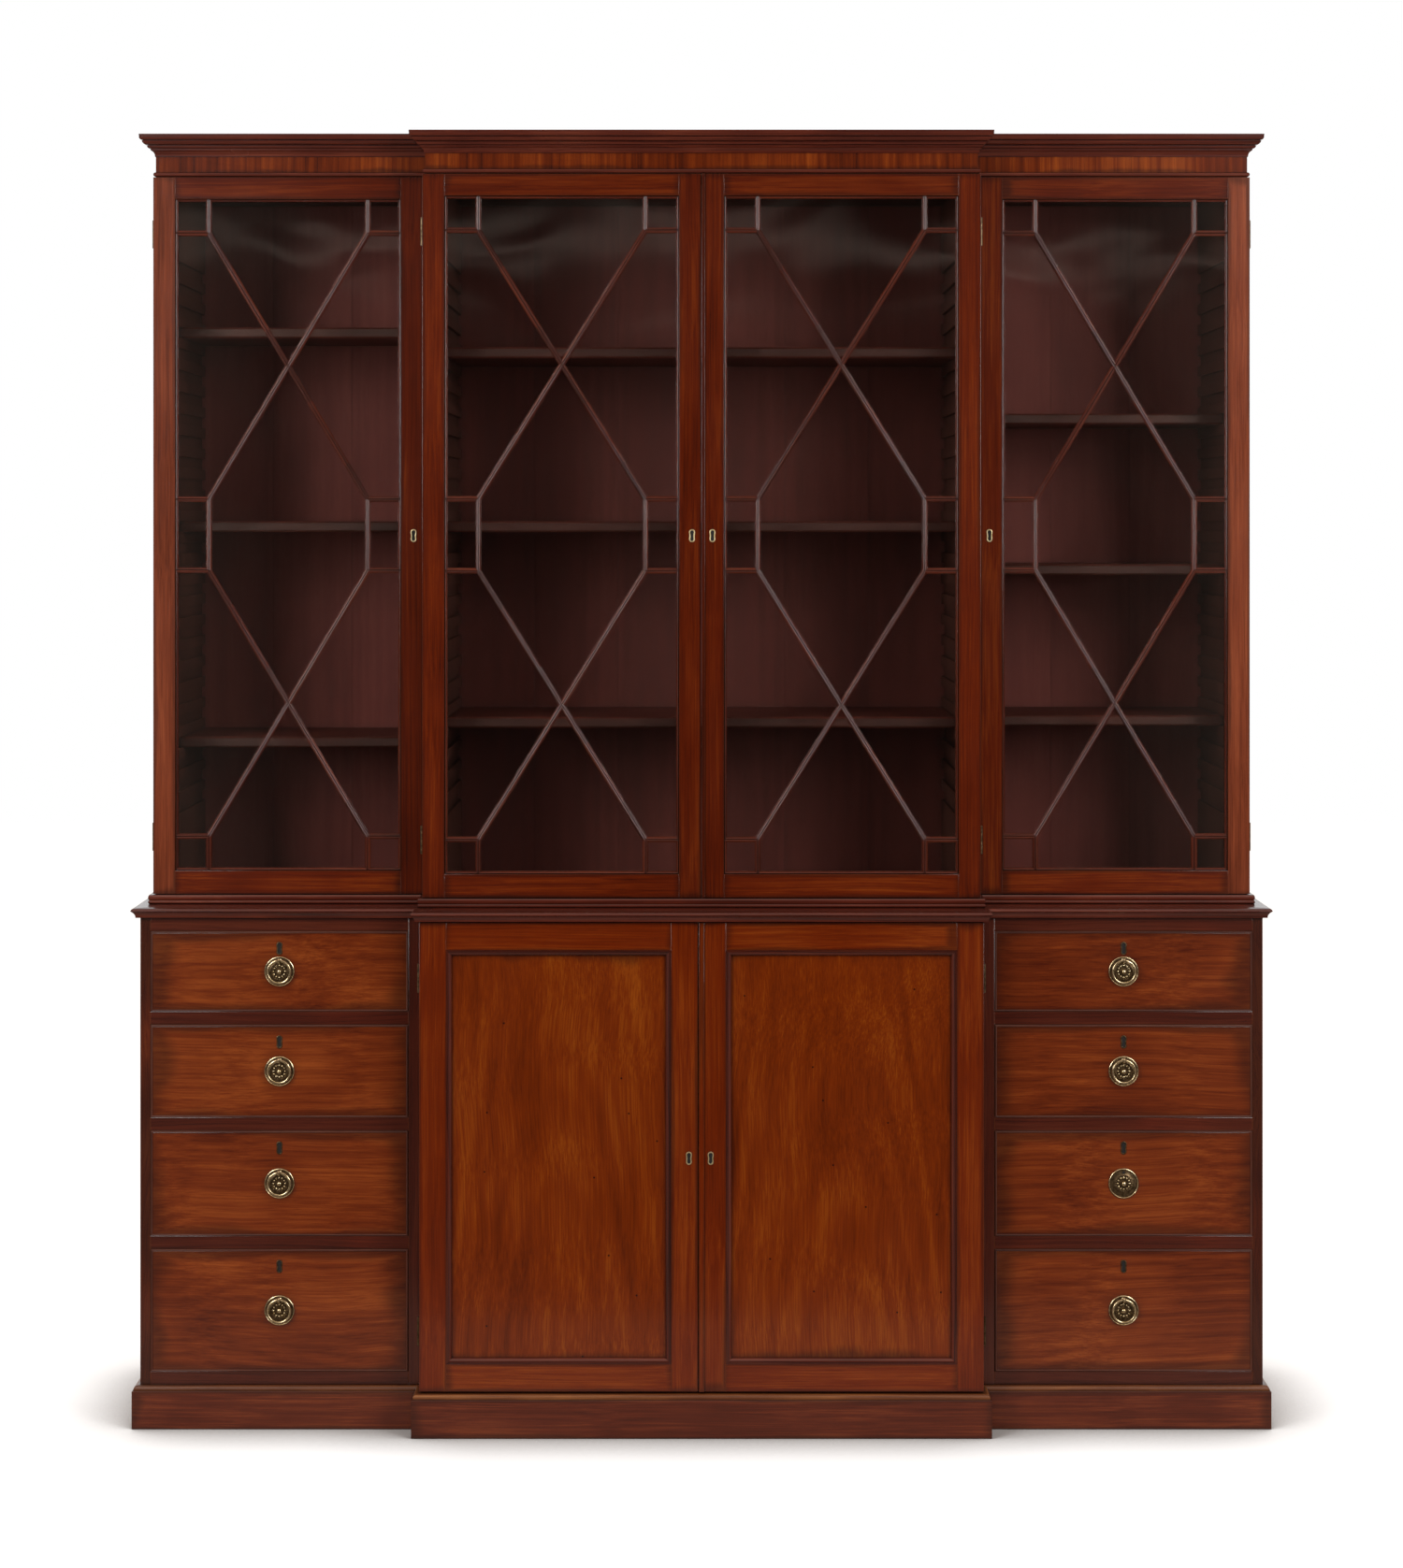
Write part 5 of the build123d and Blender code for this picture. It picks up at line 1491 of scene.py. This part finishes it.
    def build_ring(self, label: str, centre: Vector) -> None:
        """Makes the ring that hangs in the eye.

        Args:
            label: The drawer's name.
            centre: The ring's middle.
        """
        piece = Piece(f"{label}_hanging_ring")
        radius, wire, steps = self.ring_radius, self.wire, self.wire_flats
        angles = [math.tau * step / steps for step in range(steps + 1)]
        wire = [(radius + wire * math.cos(angle), wire * math.sin(angle)) for angle in angles]
        piece.turn(wire, centre, FORWARD, Finish.BRASS, self.plate_flats)
        piece.finish(f"{label}_ring", "brass", f"{label}_ring", WIRE_WORK)


@dataclass
class Drawer:
    """One drawer: a streaked front inside half-round cock beads, over an oak-lined box."""

    label: str
    side: int
    floor: float
    height: float
    has_ring: bool = True
    near_edge: float = 0.517
    far_edge: float = 0.972
    gap: float = 0.00075
    running_gap: float = 0.0003
    front: float = 0.020
    bead: float = 3.0
    proud: float = 1.5
    keyhole_drop: float = 0.030
    lining_boards: int = 4
    plate_board: int = 2
    ease: float = 0.4
    brass_ease: float = 0.2

    def bead_profile(self) -> Outline:
        """Outline of a cock bead with its rounded front."""
        inner, outer = (0.0, self.front / MM), (self.bead, self.front / MM)
        return [(0.0, 0.0), (self.bead, 0.0)] + arc(outer, inner, self.proud, 6) + [inner]

    def build(self) -> None:
        """Makes the drawer and its brasses."""
        low, high = self.near_edge + self.gap, self.far_edge - self.gap
        x_low, x_high = (low, high) if self.side > 0 else (-high, -low)
        foot, head = self.floor + self.running_gap, self.floor + self.height - self.gap
        front, face = CASE.base_wing + self.front, CASE.base_wing
        boards = [Finish.DRAWERS] + [Finish.LININGS] * self.lining_boards
        box = Piece(f"{self.label}_box")
        box.copy_boards(self.label, lambda index: boards[index] if index < len(boards) else None, self.ease)
        line = frame_line(Vector((x_low, front, foot)), Vector((x_high, front, head)))
        box.mould(self.bead_profile(), line, FORWARD, Finish.BEADS, closed=True)
        box.finish(self.label, "mahogany_figured", self.label)
        x, z = (x_low + x_high) / 2, (foot + head) / 2
        brasses, node, pull = Piece(f"{self.label}_brasses"), f"{self.label}_pull", RingPull()
        plate = self.plate_board
        brasses.copy_boards(node, lambda index: Finish.BRASS if index == plate else None, self.brass_ease)
        pull.build_plate(brasses, Vector((x, face, z)), self.has_ring)
        KeyholePlate().build(brasses, Vector((x, face, head - self.keyhole_drop)), Finish.BRONZE)
        brasses.finish(self.label, "brass", node, ROUND_WORK)
        if self.has_ring:
            pull.build_ring(self.label, Vector((x, face - pull.standoff * MM, z)))


@dataclass
class Studio:
    """A white room with a dark end behind the camera, and a tall soft box at each side."""

    eye: tuple[float, float, float] = (0.0, -5.669, 1.595)
    lens: float = 71.56
    shift: float = -0.1661
    floor_half: float = 6.0
    floor_front: float = -1.05
    lamp: tuple[float, float, float] = (2.9, -3.1, 2.5)
    lamp_size: tuple[float, float] = (1.5, 2.2)
    lamp_watts: float = 105.0
    aim: tuple[float, float, float] = (0.0, 0.0, 1.15)
    # Bands of the cloth from its foot up, by how steeply one looks at them: a fold, then the dark
    cloth: tuple[tuple[float, str], ...] = (
        (0.094, "#000000"), (0.103, "#c0cad2"), (0.112, "#141414"), (0.4, "#202020"), (0.75, "#f4f4f4")
    )

    def place(self, name: str, data: bpy.types.ID) -> bpy.types.Object:
        """Puts new data in the scene as an object of its own.

        Args:
            name: The object's name.
            data: Its mesh, light or camera.

        Returns:
            The object.
        """
        made = bpy.data.objects.new(name, data)
        bpy.context.scene.collection.objects.link(made)
        return made

    def build(self) -> None:
        """Makes the floor, the lights and the camera."""
        self.floor()
        self.sky()
        for side in (-1, 1):
            self.soft_box(side)
        view = bpy.data.cameras.new("camera")
        view.lens, view.shift_y = self.lens, self.shift
        camera = self.place("camera", view)
        camera.location = self.eye
        camera.rotation_euler = (math.radians(90), 0, 0)
        bpy.context.scene.camera = camera
        bpy.context.scene.view_settings.view_transform = "Standard"

    def soft_box(self, side: int) -> None:
        """Hangs a tall soft box at one side.

        Args:
            side: Minus one for the left, one for the right.
        """
        light = bpy.data.lights.new("soft_box", "AREA")
        light.shape, light.size, light.size_y = "RECTANGLE", *self.lamp_size
        light.energy = self.lamp_watts
        lamp = self.place("soft_box", light)
        lamp.location = (side * self.lamp[0], *self.lamp[1:])
        lamp.rotation_euler = (Vector(self.aim) - lamp.location).to_track_quat("-Z", "Y").to_euler()

    def floor(self) -> None:
        """Lays the floor: white to the eye and in reflections, but it keeps the soft shadow, partly cast
        and partly painted.
        """
        mesh = bmesh.new()
        made = bmesh.ops.create_grid(mesh, x_segments=1, y_segments=1, size=self.floor_half)
        bmesh.ops.translate(mesh, verts=made["verts"], vec=(0, self.floor_front + self.floor_half, 0))
        data = bpy.data.meshes.new("floor")
        mesh.to_mesh(data)
        mesh.free()
        floor = self.place("floor", data)
        material, tree = new_material("white_painted_floor")
        paint = add(tree, "BsdfDiffuse", {"Color": linear("#b0b0b0")})
        # Painted shadow: the floor's own white glow fades where the plinth stands close over it, by ambient
        # occlusion
        clear = add(tree, "AmbientOcclusion", {"Distance": 0.2}, {"samples": 8}, out="AO")
        share = add(tree, "MapRange", (clear, 0.5, 0.985, 0.0, 0.8))
        glow = add(tree, "Emission", {"Color": linear("#ffffff"), "Strength": share})
        lit = add(tree, "AddShader", (paint, glow))
        # The polish mirrors a darker floor, so that the foot of the case keeps its colour
        rays = add(tree, "LightPath").node.outputs
        feeds = {MIX_FIRST: linear("#d8d8d8"), MIX_SECOND: linear("#8f8a84")}
        feeds[MIX_FACTOR] = rays["Is Glossy Ray"]
        plain = add(tree, "BsdfDiffuse", {"Color": add(tree, "Mix", feeds, RGBA, out=MIX_RESULT)})
        seen = add(tree, "Math", (rays["Is Camera Ray"], rays["Is Transmission Ray"]), "MAXIMUM")
        add(tree, "OutputMaterial", (add(tree, "MixShader", (seen, plain, lit)),))
        data.materials.append(material)

    def sky(self) -> None:
        """Lights the room: a grey front with a dark middle where the camera stands, and a white back.

        A white cloth over the dark middle is what the heads of the glass doors show.
        """
        world = bpy.data.worlds.new("white_room")
        bpy.context.scene.world = world
        world.use_nodes = True
        tree = world.node_tree
        tree.nodes.clear()
        way = add(tree, "TexCoord", out="Generated")
        ahead = add(tree, "VectorMath", (way, tuple(FORWARD)), "DOT_PRODUCT", out="Value")
        folds = add(tree, "TexNoise", {"Vector": way, "Scale": 22.0, "Detail": 2.0}, out="Color")
        folded = add(tree, "VectorMath", (folds, (0.0, 0.0, 0.03), way), "MULTIPLY_ADD")
        above = add(tree, "VectorMath", (folded, tuple(UP)), "DOT_PRODUCT", out="Value")
        cloth = add(tree, "ValToRGB", (above,), stops=self.cloth)
        aside = add(tree, "VectorMath", (way, (1.0, 0.0, 0.45)), "MULTIPLY")
        aside = add(tree, "VectorMath", (aside,), "LENGTH", out="Value")
        grey = add(tree, "MapRange", (aside, 0.11, 0.2, 0.01, 0.2), SMOOTH)
        back = add(tree, "MapRange", (ahead, -0.3, 0.1, 0.7, 0.0), SMOOTH)
        room = add(tree, "Math", (grey, back), "MAXIMUM")
        room = add(tree, "Math", (room, cloth), "MAXIMUM")
        # Behind the case, glass and polish show the same white that the camera sees
        behind = add(tree, "Math", (ahead, 0.0), "LESS_THAN")
        rays = add(tree, "LightPath").node.outputs
        mirrored = add(tree, "Math", (rays["Is Glossy Ray"], rays["Is Transmission Ray"]), "MAXIMUM")
        mirrored = add(tree, "Math", (mirrored, behind), "MULTIPLY")
        white = add(tree, "Math", (rays["Is Camera Ray"], mirrored), "MAXIMUM")
        strength = add(tree, "Mix", {0: white, 2: room, 3: 1.0}, {"data_type": "FLOAT"})
        feeds = {MIX_FACTOR: white, MIX_FIRST: linear("#f6e2d2"), MIX_SECOND: linear("#ffffff")}
        colour = add(tree, "Mix", feeds, RGBA, out=MIX_RESULT)
        add(tree, "OutputWorld", (add(tree, "Background", {"Color": colour, "Strength": strength}),))


# The bookcase


# Heights of the drawers from the top one down, and of the rails between them and over them
DRAWER_HEIGHTS = (0.142, 0.164, 0.186, 0.216)
DRAWER_RAIL, HEAD_RAIL = 0.023, 0.024
RINGLESS = "right_drawer_3"


def doors() -> list[GlazedDoor | CupboardDoor]:
    """The six doors with their edges and planes.

    Returns:
        The doors, the glazed ones first.
    """
    glazed = {"thick": 0.022, "foot": 0.934, "head": 2.213}
    wing = {"hinge_edge": 0.978, "face": -0.107, **glazed}
    centre = {"hinge_edge": 0.493, "face": -0.164, **glazed}
    below = {"hinge_edge": 0.493, "face": -0.226, "thick": 0.020, "foot": 0.079, "head": 0.898}
    below["keyhole_drop"] = 0.002
    return [
        GlazedDoor("left_wing_door", -1, free_edge=-0.4975, **wing),
        GlazedDoor("centre_left_door", -1, free_edge=-0.00075, **centre),
        GlazedDoor("centre_right_door", 1, free_edge=0.00075, bead=0.005, **centre),
        GlazedDoor("right_wing_door", 1, free_edge=0.4975, **wing),
        CupboardDoor("cupboard_left_door", -1, free_edge=-0.006, **below),
        CupboardDoor("cupboard_right_door", 1, free_edge=-0.0045, bead=0.009, **below),
    ]


def drawers() -> list[Drawer]:
    """The eight drawers, from the top one down on each side.

    Returns:
        The drawers, the left ones first.
    """
    made = []
    for side, wing in ((-1, "left"), (1, "right")):
        head = CASE.base_head - HEAD_RAIL
        for number, height in enumerate(DRAWER_HEIGHTS, start=1):
            label = f"{wing}_drawer_{number}"
            made.append(Drawer(label, side, head - height, height, label != RINGLESS))
            head -= height + DRAWER_RAIL
    return made


def main() -> None:
    """Builds the bookcase piece by piece, then its room."""
    logging.basicConfig(level=logging.INFO, format="%(message)s")
    for part in (Plinth(), Carcass(), BaseTop(), Frieze(), Cornice()):
        part.build()
    leaves = Piece("case_hinge_leaves")
    leaves.copy_boards("fixed_hinge_leaves", lambda index: Finish.BRONZE, Door.brass_ease)
    for door in doors():
        door.build()
        for pin in door.pins():
            ButtHinge().knuckles(leaves, pin, True)
    leaves.finish("case", "brass", "fixed_hinge_leaves", ROUND_WORK)
    for drawer in drawers():
        drawer.build()
    Studio().build()


if __name__ == "__main__":
    main()
